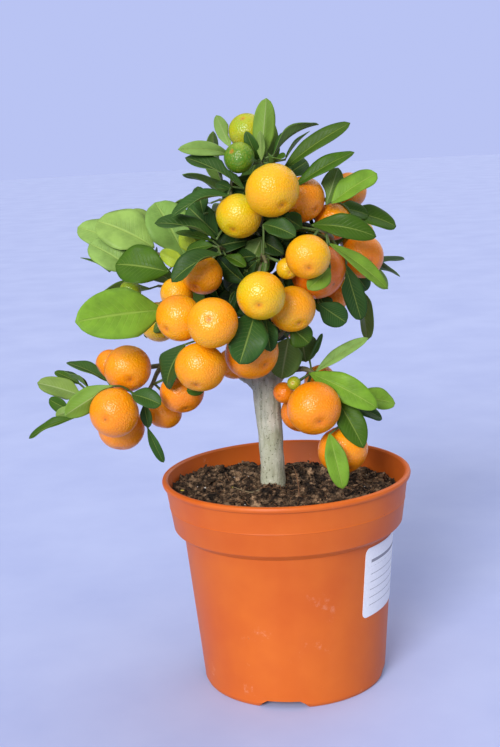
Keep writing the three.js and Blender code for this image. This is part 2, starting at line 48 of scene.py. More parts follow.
pot_low, pot_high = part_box("pot")
AXIS = Vector(((pot_low.x + pot_high.x) / 2, (pot_low.y + pot_high.y) / 2, 0))
CROWN_MIDDLE = Vector((-12, 0, 280))
GOLDEN_ANGLE = 2.4

# ---------------------------------------------------------------- the plant's plan

# Each fruit: centre, width, the way its blossom end points, and how ripe it is.
FRUIT = [
    ((-15, 4, 375), 24, (-2, -6, 8), 0.38),
    ((-20, -26, 359), 20, (-5, -7, 5), 0.06),
    ((0, -52, 339), 34, (4, -7, -6), 0.64),
    ((19, -16, 330), 30, (6, -6, -5), 0.84),
    ((-22, -36, 323), 29, (-3, -7, -6), 0.52),
    ((52, 22, 332), 24, (6, -4, 2), 0.84),
    ((39, -4, 314), 25, (5, -8, -3), 0.82),
    ((20, -62, 298), 28, (0, -9, -5), 0.69),
    ((27, -24, 284), 36, (6, -6, -5), 0.98),
    ((57, -4, 290), 29, (4, -9, -2), 0.90),
    ((-10, -74, 277), 30, (-1, -9, -3), 0.60),
    ((9, -48, 264), 30, (3, -7, -6), 0.74),
    ((36, -2, 262), 21, (5, -5, -7), 0.90),
    ((-47, -36, 287), 26, (-4, -7, -6), 0.78),
    ((-65, -26, 274), 22, (-7, -5, -5), 0.70),
    ((-62, -56, 263), 30, (-6, -7, -4), 0.78),
    ((-40, -82, 263), 31, (-1, -9, 3), 0.76),
    ((-50, -66, 233), 32, (-2, -7, -7), 0.78),
    ((-18, -46, 237), 35, (5, -7, -4), 0.82),
    ((-31, -18, 225), 22, (-2, -4, -9), 0.88),
    ((-65, -34, 211), 29, (2, -6, -8), 0.88),
    ((-79, -14, 193), 23, (-2, -3, -9), 0.84),
    ((-100, -28, 227), 31, (2, -9, -4), 0.80),
    ((-114, -4, 225), 22, (-8, -5, -3), 0.88),
    ((-108, -50, 203), 32, (-3, -9, -1), 0.82),
    ((-108, -20, 185), 31, (-1, -4, -9), 0.84),
    ((20, -47, 199), 35, (2, -9, -4), 0.86),
    ((12, -12, 188), 27, (-2, -5, -8), 0.96),
    ((1, -24, 205), 14, (-5, -8, -2), 0.92),
    ((8, -33, 213), 9, (-2, -9, 2), 0.30),
    ((38, -34, 167), 33, (2, -6, -7), 0.84),
    ((26, 4, 206), 22, (6, 4, -7), 0.90),
    ((-100, 20, 272), 15, (-5, -5, -7), 0.22),
    ((7, -42, 289), 14, (2, -9, -3), 0.60),
    ((6, 40, 322), 26, (0, 9, 3), 0.76),
    ((-26, 34, 304), 28, (-5, 8, -3), 0.84),
    ((36, 42, 261), 30, (5, 8, -4), 0.82),
    ((56, 34, 300), 26, (8, 6, -1), 0.72),
    ((-46, 44, 240), 30, (-3, 8, -5), 0.86),
    ((-84, 40, 246), 28, (-8, 6, -3), 0.64),
    ((-20, 46, 270), 28, (-1, 9, -3), 0.80),
    ((6, 54, 243), 30, (1, 8, -6), 0.90),
]

# The trunk and its limbs: each is a list of (x, y, z, radius).
LIMBS = [
    [(-9, 0, 78, 6), (-9, 0, 110, 8.2), (-9, 0, 138, 8.6), (-9, -1, 165, 8.3), (-10, -1, 190, 8.6),
     (-11, 0, 210, 9.6)],
    [(-11, 0, 206, 7), (-13, -1, 222, 5.4), (-12, -2, 242, 4.4), (-10, -2, 265, 3.8), (-10, -4, 290, 3.3),
     (-11, -6, 311, 2.8), (-8, -10, 334, 2)],
    [(-12, 0, 204, 6), (-28, 4, 214, 3.6), (-48, 8, 220, 2.6), (-70, 8, 221, 2)],
    [(-9, 0, 203, 5), (2, -3, 214, 3), (12, -9, 218, 2.2)],
    [(-10, 2, 205, 6), (-9, 14, 224, 3.4), (-4, 26, 242, 2.4)],
]
TRUNK_FOOT_X = LIMBS[0][0][0]
KNOT = ((-12, 0, 209), 9.5)

# The shoots, as in the CAD part. A leaf is (base, tip, width, the way its upper side faces, the
# fold at its midrib in degrees, its arch in percent, its tone). fill, where a shoot has it, is how
# many more leaves stand round the twigs, and the inner count is how many leaves, painted near-black
# as the crown's shade, fill the crown behind them.
SHOOTS = {
    "shoot_top": dict(
        twigs=[[(-8, -10, 330), (-6, -14, 344), (-6, -17, 357)]],
        fruit=[1, 2, 3], inner=3,
        leaves=[
            ((-6, -18, 357), (-1, -14, 395), 16, "B", 30, 4, "fresh"),
            ((-6, -21, 356), (-6, -23, 375), 6, "B", 20, 0, "pale"),
            ((-8, -16, 356), (-15, -22, 375), 9, "F", 25, 10, "dark"),
            ((1, -20, 358), (31, -10, 378), 17, "UL", 45, 10, "dark"),
            ((0, -22, 353), (6, -48, 359), 14, "U", 60, 0, "mid"),
            ((9, -6, 355), (26, 4, 373), 12, "UL", 20, 5, "mid"),
            ((-26, -2, 365), (-34, 0, 386), 10, "B", 20, 5, "pale"),
        ]),
    "shoot_upper_right": dict(
        twigs=[
            [(-10, -5, 314), (-3, -6, 328), (2, -11, 344), (12, -18, 350)],
            [(-3, -6, 327), (8, 4, 326), (22, 7, 323), (31, 2, 327), (35, -10, 329), (38, -18, 328)],
        ],
        fruit=[4, 6, 7], inner=9,
        leaves=[
            ((7, -24, 350), (50, -30, 378), 14, "UF", 25, 3, "mid"),
            ((14, -26, 339), (52, -30, 360), 13, "UF", 25, 3, "mid"),
            ((9, -16, 346), (24, -2, 354), 14, "F", 15, 5, "dark"),
            ((34, -22, 326), (43, -14, 349), 15, "B", 15, 5, "dark"),
            ((37, -24, 327), (67, -20, 345), 18, "FU", 22, 4, "fresh"),
            ((41, -6, 323), (63, 4, 316), 14, "FU", 15, 5, "mid"),
            ((48, 4, 319), (82, 10, 308), 17, "FU", 15, 6, "mid"),
        ]),
    "shoot_right": dict(
        twigs=[
            [(-10, -3, 285), (5, 0, 300), (18, -6, 306), (30, -14, 306), (37, -25, 305), (34, -36, 309),
             (28, -38, 312)],
            [(4, 0, 299), (10, 8, 284), (22, 10, 271), (40, 10, 276), (54, 8, 276)],
        ],
        fruit=[8, 9, 10, 13], inner=11,
        leaves=[
            ((23, -36, 315), (64, -40, 306), 17, "UFF", 25, 16, "mid"),
            ((33, -40, 304), (71, -40, 273), 12, "UF", 25, 4, "fresh"),
            ((60, 10, 285), (75, 18, 264), 10, "F", 15, 5, "pale"),
            ((51, 4, 280), (61, 12, 265), 12, "F", 15, 5, "dark"),
            ((44, -26, 289), (54, -20, 250), 15, "F", 20, 6, "dark"),
            ((26, -30, 264), (44, -26, 250), 17, "F", 15, 5, "dark"),
            ((34, -50, 289), (19, -62, 278), 14, "F", 20, 8, "fresh"),
            ((27, -14, 267), (33, -12, 256), 13, "F", 15, 5, "mid"),
            ((18, -30, 313), (7, -30, 321), 14, "F", 20, 5, "dark"),
        ]),
    "shoot_upper_left": dict(
        twigs=[[(-9, -4, 293), (-20, -8, 311), (-27, -14, 326), (-26, -16, 344)]],
        fruit=[5], inner=8,
        leaves=[
            ((-26, -14, 361), (-57, -34, 367), 11, "UFF", 20, 8, "pale"),
            ((-17, -30, 339), (-54, -28, 361), 16, "UUF", 38, 6, "dark"),
            ((-26, -20, 339), (-36, -14, 343), 8, "UF", 20, 5, "dark"),
            ((-26, -36, 336), (-64, -48, 327), 15, "UUF", 40, 10, "dark"),
            ((-45, -22, 324), (-48, -18, 342), 11, "F", 20, 5, "dark"),
            ((-36, -22, 310), (-55, -14, 329), 20, "F", 15, 5, "dark"),
            ((-36, -34, 308), (-74, -44, 323), 17, "UUF", 40, 8, "dark"),
        ]),
    "shoot_left_high": dict(
        twigs=[
            [(-10, -3, 270), (-22, -10, 290), (-33, -24, 301), (-36, -38, 304)],
            [(-32, -20, 299), (-46, -13, 300), (-57, -14, 295)],
        ],
        fruit=[14, 15], inner=7,
        leaves=[
            ((-33, -50, 301), (-65, -62, 287), 19, "UUF", 45, 10, "dark"),
            ((-39, -34, 305), (-57, -28, 302), 10, "UF", 25, 5, "mid"),
            ((-39, -26, 307), (-64, -18, 314), 7, "UF", 20, 5, "mid"),
            ((-49, -14, 301), (-63, -6, 310), 12, "F", 15, 5, "young"),
            ((-47, -12, 302), (-55, -4, 314), 10, "F", 15, 5, "young"),
            ((-58, -28, 293), (-74, -26, 302), 11, "F", 15, 5, "young"),
            ((-32, -30, 298), (-19, -36, 291), 9, "UF", 20, 5, "mid"),
        ]),
    "shoot_left_back": dict(
        twigs=[[(-11, 0, 240), (-28, 6, 262), (-45, 8, 281), (-62, 8, 291), (-80, 12, 297), (-98, 20, 297)]],
        fruit=[33], inner=5,
        # The pale leaves here show their upper sides, and their pale tone is painted sheen.
        leaves=[
            ((-61, 8, 295), (-79, 16, 331), 33, "FU", 15, 8, "pale"),
            ((-85, 24, 305), (-98, 30, 326), 21, "FU", 15, 5, "pale"),
            ((-81, 12, 301), (-119, 18, 321), 34, "FU", 12, 6, "pale"),
            ((-103, 28, 302), (-135, 34, 316), 24, "FU", 15, 5, "pale"),
            ((-93, 2, 286), (-124, 8, 307), 26, "FU", 15, 5, "pale"),
            ((-110, -4, 288), (-129, 0, 299), 6, "U", 15, 5, "dark"),
            ((-70, -12, 287), (-106, -6, 294), 30, "FFU", 18, 6, "mid"),
        ]),
    "shoot_left": dict(
        twigs=[[(-12, 0, 230), (-26, -12, 248), (-38, -28, 256), (-45, -44, 251), (-48, -54, 249)]],
        fruit=[16, 17, 18, 20], inner=8,
        leaves=[
            ((-72, -40, 266), (-125, -70, 266), 35, "FFU", 8, 5, "fresh"),
            ((-59, -58, 247), (-74, -48, 217), 20, "FL", 20, 10, "dark"),
            ((-59, -40, 239), (-70, -36, 225), 12, "F", 20, 5, "dark"),
            ((-48, -48, 217), (-60, -56, 216), 9, "F", 15, 5, "mid"),
        ]),
    "shoot_front": dict(
        twigs=[
            [(-10, -3, 280), (-9, -20, 292), (-8, -38, 298), (-6, -52, 294)],
            [(-9, -20, 292), (-14, -30, 276), (-14, -44, 264), (-14, -56, 264)],
        ],
        fruit=[11, 12, 34], inner=8,
        leaves=[
            ((-7, -46, 318), (13, -58, 311), 15, "UFF", 30, 10, "dark"),
            ((-8, -22, 308), (-19, -26, 286), 22, "B", 15, 5, "dark"),
            ((-14, -64, 266), (-25, -82, 237), 25, "F", 15, 8, "dark"),
            ((-9, -46, 286), (-5, -46, 295), 5, "F", 10, 0, "mid"),
        ]),
    "shoot_low_front": dict(
        twigs=[[(-11, 0, 222), (-4, -12, 236), (3, -24, 246), (4, -34, 250)]],
        fruit=[19], inner=8,
        leaves=[
            ((-8, -54, 260), (-6, -62, 240), 13, "F", 15, 5, "dark"),
            ((8, -40, 251), (19, -40, 240), 17, "F", 15, 5, "mid"),
            ((6, -26, 242), (0, -20, 214), 24, "B", 15, 5, "dark"),
            ((14, -14, 243), (17, -4, 221), 20, "B", 15, 5, "dark"),
        ]),
    "shoot_left_low": dict(
        twigs=[
            [(-68, 8, 221), (-90, 3, 221), (-103, -9, 216), (-118, -22, 212), (-134, -30, 208)],
            [(-80, 6, 221), (-83, -6, 219), (-86, -18, 213), (-90, -32, 209)],
        ],
        fruit=[21, 22, 23, 24, 25, 26], inner=0,
        leaves=[
            ((-132, -26, 210), (-163, -6, 216), 15, "B", 20, 5, "olive"),
            ((-135, -8, 214), (-153, 0, 222), 8, "UF", 20, 5, "mid"),
            ((-125, -34, 216), (-140, -36, 229), 9, "U", 40, 3, "dark"),
            ((-115, -14, 216), (-142, -12, 231), 12, "UUF", 35, 3, "dark"),
            ((-108, -46, 220), (-139, -56, 204), 17, "B", 20, 6, "fresh"),
            ((-141, -20, 199), (-156, -14, 206), 10, "F", 15, 5, "mid"),
            ((-136, -36, 203), (-148, -38, 200), 8, "B", 15, 5, "pale"),
            ((-135, -42, 199), (-166, -44, 188), 10, "UUF", 30, 5, "mid"),
            ((-97, -48, 214), (-77, -56, 208), 14, "UF", 22, 8, "dark"),
            ((-90, -36, 205), (-88, -38, 189), 8, "F", 20, 5, "dark"),
            ((-89, -36, 189), (-80, -34, 164), 7, "F", 20, 8, "dark"),
        ]),
    "shoot_right_low": dict(
        twigs=[
            [(10, -8, 217), (17, -15, 218), (27, -20, 212), (38, -20, 204), (46, -22, 194), (46, -27, 188)],
        ],
        fruit=[27, 28, 29, 30, 31, 32], inner=0,
        leaves=[
            ((19, -10, 223), (29, -6, 240), 7, "UR", 15, 0, "mid"),
            ((22, -12, 215), (59, -4, 236), 10, "UF", 15, 5, "pale"),
            ((18, -26, 218), (61, -42, 196), 19, "UFF", 20, 10, "fresh"),
            ((46, -18, 198), (75, -14, 192), 17, "UF", 18, 6, "fresh"),
            ((45, -12, 192), (67, -6, 180), 12, "UF", 15, 5, "dark"),
            ((34, -30, 203), (51, -46, 171), 19, "UFF", 22, 8, "mid"),
            ((29, -50, 183), (36, -62, 149), 15, "F", 25, 5, "fresh"),
        ]),
    "shoot_back_high": dict(
        twigs=[
            [(-10, -4, 296), (-10, 10, 316), (-4, 24, 334), (0, 36, 344)],
            [(-10, 8, 313), (-22, 16, 324), (-36, 26, 330)],
        ],
        fruit=[35, 36], fill=10, inner=13),
    "shoot_back_right": dict(
        twigs=[[(-10, -2, 262), (10, 20, 280), (30, 34, 286), (44, 40, 280), (56, 52, 268)]],
        fruit=[37, 38, 42], fill=9, inner=13),
    "shoot_back_left": dict(
        twigs=[[(-12, -1, 236), (-24, 22, 252), (-44, 32, 264), (-64, 40, 268), (-84, 52, 270)]],
        fruit=[39, 40, 41], fill=10, inner=13),
}

# The letters that say which way a leaf faces: up, front, back, left and right.
WAYS = {"U": (0, 0, 1), "F": (0, -1, 0), "B": (0, 1, 0), "L": (-1, 0, 0), "R": (1, 0, 0)}

# Leaf colours, upper side.
TONES = {
    # The inner tone is painted shade: near-black for the leaves deep in the crown, where shade falls.
    "inner": (0.014, 0.040, 0.007),
    "dark": (0.032, 0.085, 0.014),
    "mid": (0.047, 0.112, 0.007),
    "fresh": (0.150, 0.290, 0.025),
    "young": (0.340, 0.440, 0.030),
    # pale is partly the paler underside and partly painted sheen: on leaves whose upper side faces the
    # camera it stands for light glancing off the blade.
    "pale": (0.235, 0.380, 0.090),
    "olive": (0.160, 0.230, 0.040),
}
FILL_TONES = ("mid", "dark", "fresh", "dark", "mid")
TWIG_BROWN = (0.16, 0.15, 0.07, 1)
TWIG_GREEN = (0.09, 0.16, 0.03, 1)
CALYX_GREEN = (0.24, 0.30, 0.06, 1)
SCRAP_YELLOW = (0.62, 0.52, 0.04, 1)
SCRAP_BROWN = (0.24, 0.18, 0.10, 1)

# Colours of the other finishes.
PLASTIC = dict(deep=(0.56, 0.094, 0.006), bright=(0.64, 0.132, 0.010), streak=(0.76, 0.22, 0.06),
               scuff=(0.78, 0.40, 0.26), speck=(0.30, 0.06, 0.02))
PAPER = dict(shade=(0.80, 0.81, 0.86), white=(0.88, 0.89, 0.93), ink=(0.12, 0.12, 0.16))
# Peat: its darkest colour is painted shade for the gaps between the clumps.
PEAT = dict(gap_shade=(0.008, 0.005, 0.004), crumb=(0.060, 0.036, 0.021), dry=(0.250, 0.160, 0.095),
            fleck=(0.24, 0.165, 0.10))
GRIT = ((0.35, 0.34, 0.33), (0.6, 0.6, 0.6))
COIR = ((0.10, 0.045, 0.018), (0.26, 0.13, 0.06))
BARK = dict(green=(0.36, 0.38, 0.26), grey=(0.50, 0.51, 0.41), pale=(0.60, 0.58, 0.48),
            furrow=(0.15, 0.16, 0.09), lichen=(0.62, 0.62, 0.54), pit=(0.09, 0.09, 0.05))
BLADE = dict(shadow=(0.02, 0.05, 0.01), vein=(0.36, 0.46, 0.10), under=(0.17, 0.27, 0.05),
             under_shadow=(0.08, 0.14, 0.03), under_vein=(0.36, 0.44, 0.18))
# Peel: the deep orange for the blossom-end dimple is painted shade there.
PEEL = dict(green=(0.085, 0.210, 0.010), lime=(0.30, 0.40, 0.012), yellow=(0.64, 0.47, 0.004),
            gold=(0.85, 0.40, 0.002), orange=(0.89, 0.275, 0.001), red=(0.84, 0.17, 0.002),
            pore=(1.0, 0.66, 0.10), dimple_shade=(0.72, 0.16, 0.004), scar=(0.22, 0.11, 0.03))
FLOOR = ((0.40, 0.46, 0.78), (0.46, 0.52, 0.83))

# ---------------------------------------------------------------- materials


def material(name):
    """A new node material; returns it with its node tree and its Principled shader."""
    made = bpy.data.materials.new(name)
    made.use_nodes = True
    tree = made.node_tree
    return made, tree, tree.nodes["Principled BSDF"]


def node(tree, kind, links=None, **values):
    """A node with its settings and socket values, its inputs linked from other sockets."""
    made = tree.nodes.new(kind)
    for key, value in values.items():
        if hasattr(made, key):
            setattr(made, key, value)
        else:
            made.inputs[key.replace("_", " ")].default_value = value
    for key, source in (links or {}).items():
        tree.links.new(source, made.inputs[key])
    return made


def ramp(tree, factor, *stops):
    """A colour ramp of (place, colour) stops."""
    made = tree.nodes.new("ShaderNodeValToRGB")
    tree.links.new(factor, made.inputs[0])
    elements = made.color_ramp.elements
    while len(elements) < len(stops):
        elements.new(0.5)
    for element, (place, colour) in zip(elements, stops):
        element.position = place
        element.color = (*colour, 1) if hasattr(colour, "__len__") else (colour, colour, colour, 1)
    return made.outputs["Color"]


def mix(tree, factor, low, high, blend="MIX"):
    """A colour mix; factor, low and high are sockets or values."""
    made = tree.nodes.new("ShaderNodeMix")
    made.data_type = "RGBA"
    made.blend_type = blend
    for place, value in ((0, factor), (6, low), (7, high)):
        if isinstance(value, bpy.types.NodeSocket):
            tree.links.new(value, made.inputs[place])
        elif place == 0:
            made.inputs[place].default_value = value
        else:
            made.inputs[place].default_value = (*value, 1)
    return made.outputs[2]


def maths(tree, operation, *values):
    """One step of arithmetic on sockets or values."""
    made = tree.nodes.new("ShaderNodeMath")
    made.operation = operation
    for i, value in enumerate(values):
        if isinstance(value, bpy.types.NodeSocket):
            tree.links.new(value, made.inputs[i])
        else:
            made.inputs[i].default_value = value
    return made.outputs[0]


def times(tree, first, *others):
    """The product of sockets or values."""
    for value in others:
        first = maths(tree, "MULTIPLY", first, value)
    return first


def from_middle(tree, value):
    """How far a value from 0 to 1 is from its middle."""
    return maths(tree, "ABSOLUTE", maths(tree, "SUBTRACT", value, 0.5))


def object_place(tree, scale=(1, 1, 1)):
    """Object coordinates, stretched by scale."""
    coords = tree.nodes.new("ShaderNodeTexCoord")
    made = node(tree, "ShaderNodeMapping", {"Vector": coords.outputs["Object"]})
    made.inputs["Scale"].default_value = scale
    return made.outputs["Vector"]


def speckle(tree, place, scale, detail=4, rough=0.55):
    """Cloudy noise; a larger scale is finer."""
    made = node(tree, "ShaderNodeTexNoise", {"Vector": place}, Scale=scale, Detail=detail, Roughness=rough)
    return made.outputs["Fac"]


def cells(tree, place, scale):
    """The distance from the middles of scattered cells."""
    return node(tree, "ShaderNodeTexVoronoi", {"Vector": place}, Scale=scale).outputs["Distance"]


def painted(tree, name, output="Color"):
    """A colour or value that the piece's own vertices carry."""
    return node(tree, "ShaderNodeAttribute", attribute_name=name).outputs[output]


def sheet_place(tree, name):
    """Across and along a sheet or blade, each from 0 to 1."""
    coords = node(tree, "ShaderNodeUVMap", uv_map=name)
    parts = node(tree, "ShaderNodeSeparateXYZ", {"Vector": coords.outputs["UV"]})
    return parts.outputs["X"], parts.outputs["Y"]


def bump(tree, shader, height, strength, distance):
    """Fine relief on the shader, its distance in metres."""
    made = node(tree, "ShaderNodeBump", {"Height": height}, Strength=strength, Distance=distance)
    tree.links.new(made.outputs["Normal"], shader.inputs["Normal"])


def dress(tree, shader, colour, roughness, specular=0.5):
    """Gives the shader its colour, its roughness (a socket or a number) and its specular level."""
    tree.links.new(colour, shader.inputs["Base Color"])
    if isinstance(roughness, bpy.types.NodeSocket):
        tree.links.new(roughness, shader.inputs["Roughness"])
    else:
        shader.inputs["Roughness"].default_value = roughness
    shader.inputs["Specular IOR Level"].default_value = specular


def pot_plastic():
    """Moulded plastic: cloudy, streaked upwards, with pale scuffs and a few dark specks."""
    made, tree, shader = material("terracotta_plastic")
    place = object_place(tree)
    cloudy = speckle(tree, place, 22, 3)
    colour = ramp(tree, cloudy, (0.3, PLASTIC["deep"]), (0.7, PLASTIC["bright"]))
    streaks = speckle(tree, object_place(tree, (90, 90, 3)), 1, 2)
    colour = mix(tree, times(tree, streaks, 0.12), colour, PLASTIC["streak"])
    worn = speckle(tree, object_place(tree, (60, 60, 60)), 1, 8, 0.75)
    marks = ramp(tree, worn, (0.60, 0.0), (0.68, 1.0))
    patch = ramp(tree, speckle(tree, place, 14, 2), (0.50, 0.0), (0.60, 1.0))
    colour = mix(tree, times(tree, marks, patch, 0.4), colour, PLASTIC["scuff"])
    dots = ramp(tree, cells(tree, place, 150), (0.045, 1.0), (0.07, 0.0))
    rare = ramp(tree, speckle(tree, place, 60, 1), (0.60, 0.0), (0.66, 1.0))
    colour = mix(tree, times(tree, dots, rare), colour, PLASTIC["speck"])
    dress(tree, shader, colour, ramp(tree, cloudy, (0.2, 0.40), (0.8, 0.52)), 0.3)
    bump(tree, shader, speckle(tree, place, 900, 2), 0.12, 0.0003)
    return made


def label_paper():
    """White paper with one broad ruled line over finer ones."""
    made, tree, shader = material("label_paper")
    across, up = sheet_place(tree, "sheet")
    wave = maths(tree, "FRACT", times(tree, up, 9.0))
    fine_line = maths(tree, "LESS_THAN", from_middle(tree, wave), 0.035)
    inside = maths(tree, "LESS_THAN", from_middle(tree, across), 0.40)
    below = maths(tree, "LESS_THAN", up, 0.72)
    above = maths(tree, "GREATER_THAN", up, 0.12)
    ruled = times(tree, fine_line, inside, below, above)
    from_head = maths(tree, "ABSOLUTE", maths(tree, "SUBTRACT", up, 0.80))
    head = times(tree, maths(tree, "LESS_THAN", from_head, 0.022), inside)
    print_on = maths(tree, "MAXIMUM", ruled, head)
    grain = speckle(tree, object_place(tree), 700, 3)
    paper = ramp(tree, grain, (0.3, PAPER["shade"]), (0.7, PAPER["white"]))
    dress(tree, shader, mix(tree, times(tree, print_on, 0.8), paper, PAPER["ink"]), 0.6)
    bump(tree, shader, grain, 0.1, 0.0002)
    return made


def soil_crumb():
    """Peat: brown clumps, near-black painted shade in the gaps between them, and pale dry flecks, shaded
    crumb by crumb.
    """
    made, tree, shader = material("peat_crumb")
    place = object_place(tree)
    clumps = speckle(tree, place, 160, 5, 0.65)
    # The lowest noise values are painted shade: near-black, as in the gaps between the clumps.
    colour = ramp(tree, clumps, (0.40, PEAT["gap_shade"]), (0.50, PEAT["crumb"]), (0.61, PEAT["dry"]))
    fine = speckle(tree, place, 1400, 4, 0.7)
    colour = mix(tree, ramp(tree, fine, (0.60, 0.0), (0.74, 0.7)), colour, PEAT["fleck"])
    colour = mix(tree, 1.0, colour, painted(tree, "shade"), "MULTIPLY")
    dress(tree, shader, colour, 0.92, 0.25)
    bump(tree, shader, maths(tree, "ADD", clumps, times(tree, fine, 0.5)), 1.0, 0.0012)
    return made


def plain_grain(name, tones, scale, roughness):
    """A plain finish mottled between two tones."""
    made, tree, shader = material(name)
    grain = speckle(tree, object_place(tree), scale, 4)
    dress(tree, shader, ramp(tree, grain, (0.3, tones[0]), (0.7, tones[1])), roughness)
    bump(tree, shader, grain, 0.4, 0.0004)
    return made


def bark():
    """Grey-green bark: upright furrows, spots of lichen and dark pits."""
    made, tree, shader = material("furrowed_bark")
    furrows = speckle(tree, object_place(tree, (330, 330, 60)), 1, 5, 0.6)
    patches = speckle(tree, object_place(tree), 55, 3)
    colour = ramp(tree, patches, (0.30, BARK["green"]), (0.55, BARK["grey"]), (0.75, BARK["pale"]))
    colour = mix(tree, ramp(tree, furrows, (0.36, 0.55), (0.50, 0.0)), colour, BARK["furrow"])
    lichen = ramp(tree, speckle(tree, object_place(tree), 420, 2), (0.62, 0.0), (0.68, 1.0))
    colour = mix(tree, times(tree, lichen, 0.6), colour, BARK["lichen"])
    pits = ramp(tree, speckle(tree, object_place(tree), 700, 1), (0.30, 1.0), (0.36, 0.0))
    colour = mix(tree, times(tree, pits, 0.7), colour, BARK["pit"])
    dress(tree, shader, colour, 0.8)
    bump(tree, shader, furrows, 0.5, 0.0006)
    return made


def tinted(name, roughness):
    """Young wood and calyxes: their own tint, mottled."""
    made, tree, shader = material(name)
    grain = speckle(tree, object_place(tree), 500, 3)
    dark = ramp(tree, grain, (0.3, 0.55), (0.6, 0.0))
    dress(tree, shader, mix(tree, dark, painted(tree, "tint"), (0.05, 0.05, 0.02)), roughness)
    bump(tree, shader, grain, 0.3, 0.0003)
    return made


def leaf_veins(tree):
    """The strength of the veins over a blade: the midrib, and slanting side veins that fade outwards."""
    across, along = sheet_place(tree, "blade")
    off = from_middle(tree, across)
    midrib = ramp(tree, off, (0.012, 1.0), (0.035, 0.0))
    slant = maths(tree, "SUBTRACT", along, times(tree, off, 0.45))
    wave = maths(tree, "FRACT", times(tree, slant, 13.0))
    side = ramp(tree, from_middle(tree, wave), (0.0, 1.0), (0.12, 0.0))
    fade = ramp(tree, off, (0.05, 1.0), (0.46, 0.0))
    return maths(tree, "MAXIMUM", midrib, times(tree, side, fade, 0.45))


def leaf_upper():
    """The glossy upper side of a leaf, in the leaf's own tint."""
    made, tree, shader = material("leaf_upper")
    tint, veins, place = painted(tree, "tint"), leaf_veins(tree), object_place(tree)
    mottle = ramp(tree, speckle(tree, place, 90, 4), (0.3, 0.35), (0.6, 0.0))
    colour = mix(tree, mottle, tint, BLADE["shadow"])
    lighter = mix(tree, 0.45, tint, BLADE["vein"])
    colour = mix(tree, times(tree, veins, 0.75), colour, lighter)
    roughness = ramp(tree, speckle(tree, place, 140, 3), (0.3, 0.34), (0.7, 0.50))
    dress(tree, shader, colour, roughness, 0.13)
    pebbles = times(tree, speckle(tree, place, 1100, 2), 0.3)
    bump(tree, shader, maths(tree, "SUBTRACT", pebbles, veins), 0.7, 0.0005)
    return made


def leaf_under():
    """The matt, paler underside of a leaf."""
    made, tree, shader = material("leaf_under")
    tint, veins, place = painted(tree, "tint"), leaf_veins(tree), object_place(tree)
    colour = mix(tree, 0.5, tint, BLADE["under"])
    mottle = ramp(tree, speckle(tree, place, 120, 4), (0.3, 0.25), (0.6, 0.0))
    colour = mix(tree, mottle, colour, BLADE["under_shadow"])
    colour = mix(tree, times(tree, veins, 0.5), colour, BLADE["under_vein"])
    dress(tree, shader, colour, 0.5, 0.2)
    bump(tree, shader, veins, 0.4, 0.0005)
    return made


def peel():
    """Satin peel, green to red by ripeness, with pores, painted shade in the dimple at the blossom end, and
    a scar in it.
    """
    made, tree, shader = material("mandarin_peel")
    ripe, polar = painted(tree, "ripe", "Fac"), painted(tree, "polar", "Fac")
    place = object_place(tree)
    cloudy = speckle(tree, place, 38, 3)
    unripe = maths(tree, "SUBTRACT", 1.35, ripe)
    shade = times(tree, maths(tree, "SUBTRACT", cloudy, 0.5), unripe, 0.62)
    shoulder = times(tree, maths(tree, "MAXIMUM", times(tree, polar, -1.0), 0.0), 0.10)
    level = maths(tree, "SUBTRACT", maths(tree, "ADD", ripe, shade), shoulder)
    colour = ramp(tree, level, (0.05, PEEL["green"]), (0.28, PEEL["lime"]), (0.48, PEEL["yellow"]),
                  (0.66, PEEL["gold"]), (0.82, PEEL["orange"]), (1.0, PEEL["red"]))
    pores = ramp(tree, cells(tree, place, 760), (0.0, 1.0), (0.65, 0.0))
    colour = mix(tree, times(tree, pores, 0.12), colour, PEEL["pore"])
    # Painted shade: the dimple at the blossom end is darkened to a deeper orange.
    colour = mix(tree, ramp(tree, polar, (0.975, 0.0), (0.998, 0.45)), colour, PEEL["dimple_shade"])
    colour = mix(tree, ramp(tree, polar, (0.9970, 0.0), (0.9992, 0.70)), colour, PEEL["scar"])
    dress(tree, shader, colour, ramp(tree, cloudy, (0.3, 0.26), (0.7, 0.36)), 0.45)
    shader.inputs["Subsurface Weight"].default_value = 0.12
    shader.inputs["Subsurface Radius"].default_value = (1.0, 0.4, 0.1)
    shader.inputs["Subsurface Scale"].default_value = 0.003
    bump(tree, shader, times(tree, pores, -1.0), 0.55, 0.0004)
    return made


def floor_cloth():
    """A plain pale floor."""
    made, tree, shader = material("pale_floor")
    soft = speckle(tree, object_place(tree), 9, 4)
    dress(tree, shader, ramp(tree, soft, (0.3, FLOOR[0]), (0.7, FLOOR[1])), 0.9)
    return made


# ---------------------------------------------------------------- shared shapes


def piece(name, bm, materials, slot, *nodes, smooth=True):
    """Makes the mesh a piece of the object that stands for CAD nodes."""
    mesh = bpy.data.meshes.new(name)
    bm.to_mesh(mesh)
    bm.free()
    for made in materials:
        mesh.materials.append(made)
    mesh.polygons.foreach_set("use_smooth", [smooth] * len(mesh.polygons))
    obj = bpy.data.objects.new(name, mesh)
    bpy.context.scene.collection.objects.link(obj)
    for cad_node in nodes:
        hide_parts(cad_node)
    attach(obj, "root")
    return obj


def placed(point):
    """A place in the plan, in metres in the object's frame."""
    return AXIS + Vector(point) * MM


def way_of(letters):
    """The direction that letters such as UF, up and to the front, add up to."""
    return sum((Vector(WAYS[letter]) for letter in letters), Vector()).normalized()


CURVE_STEPS = 20


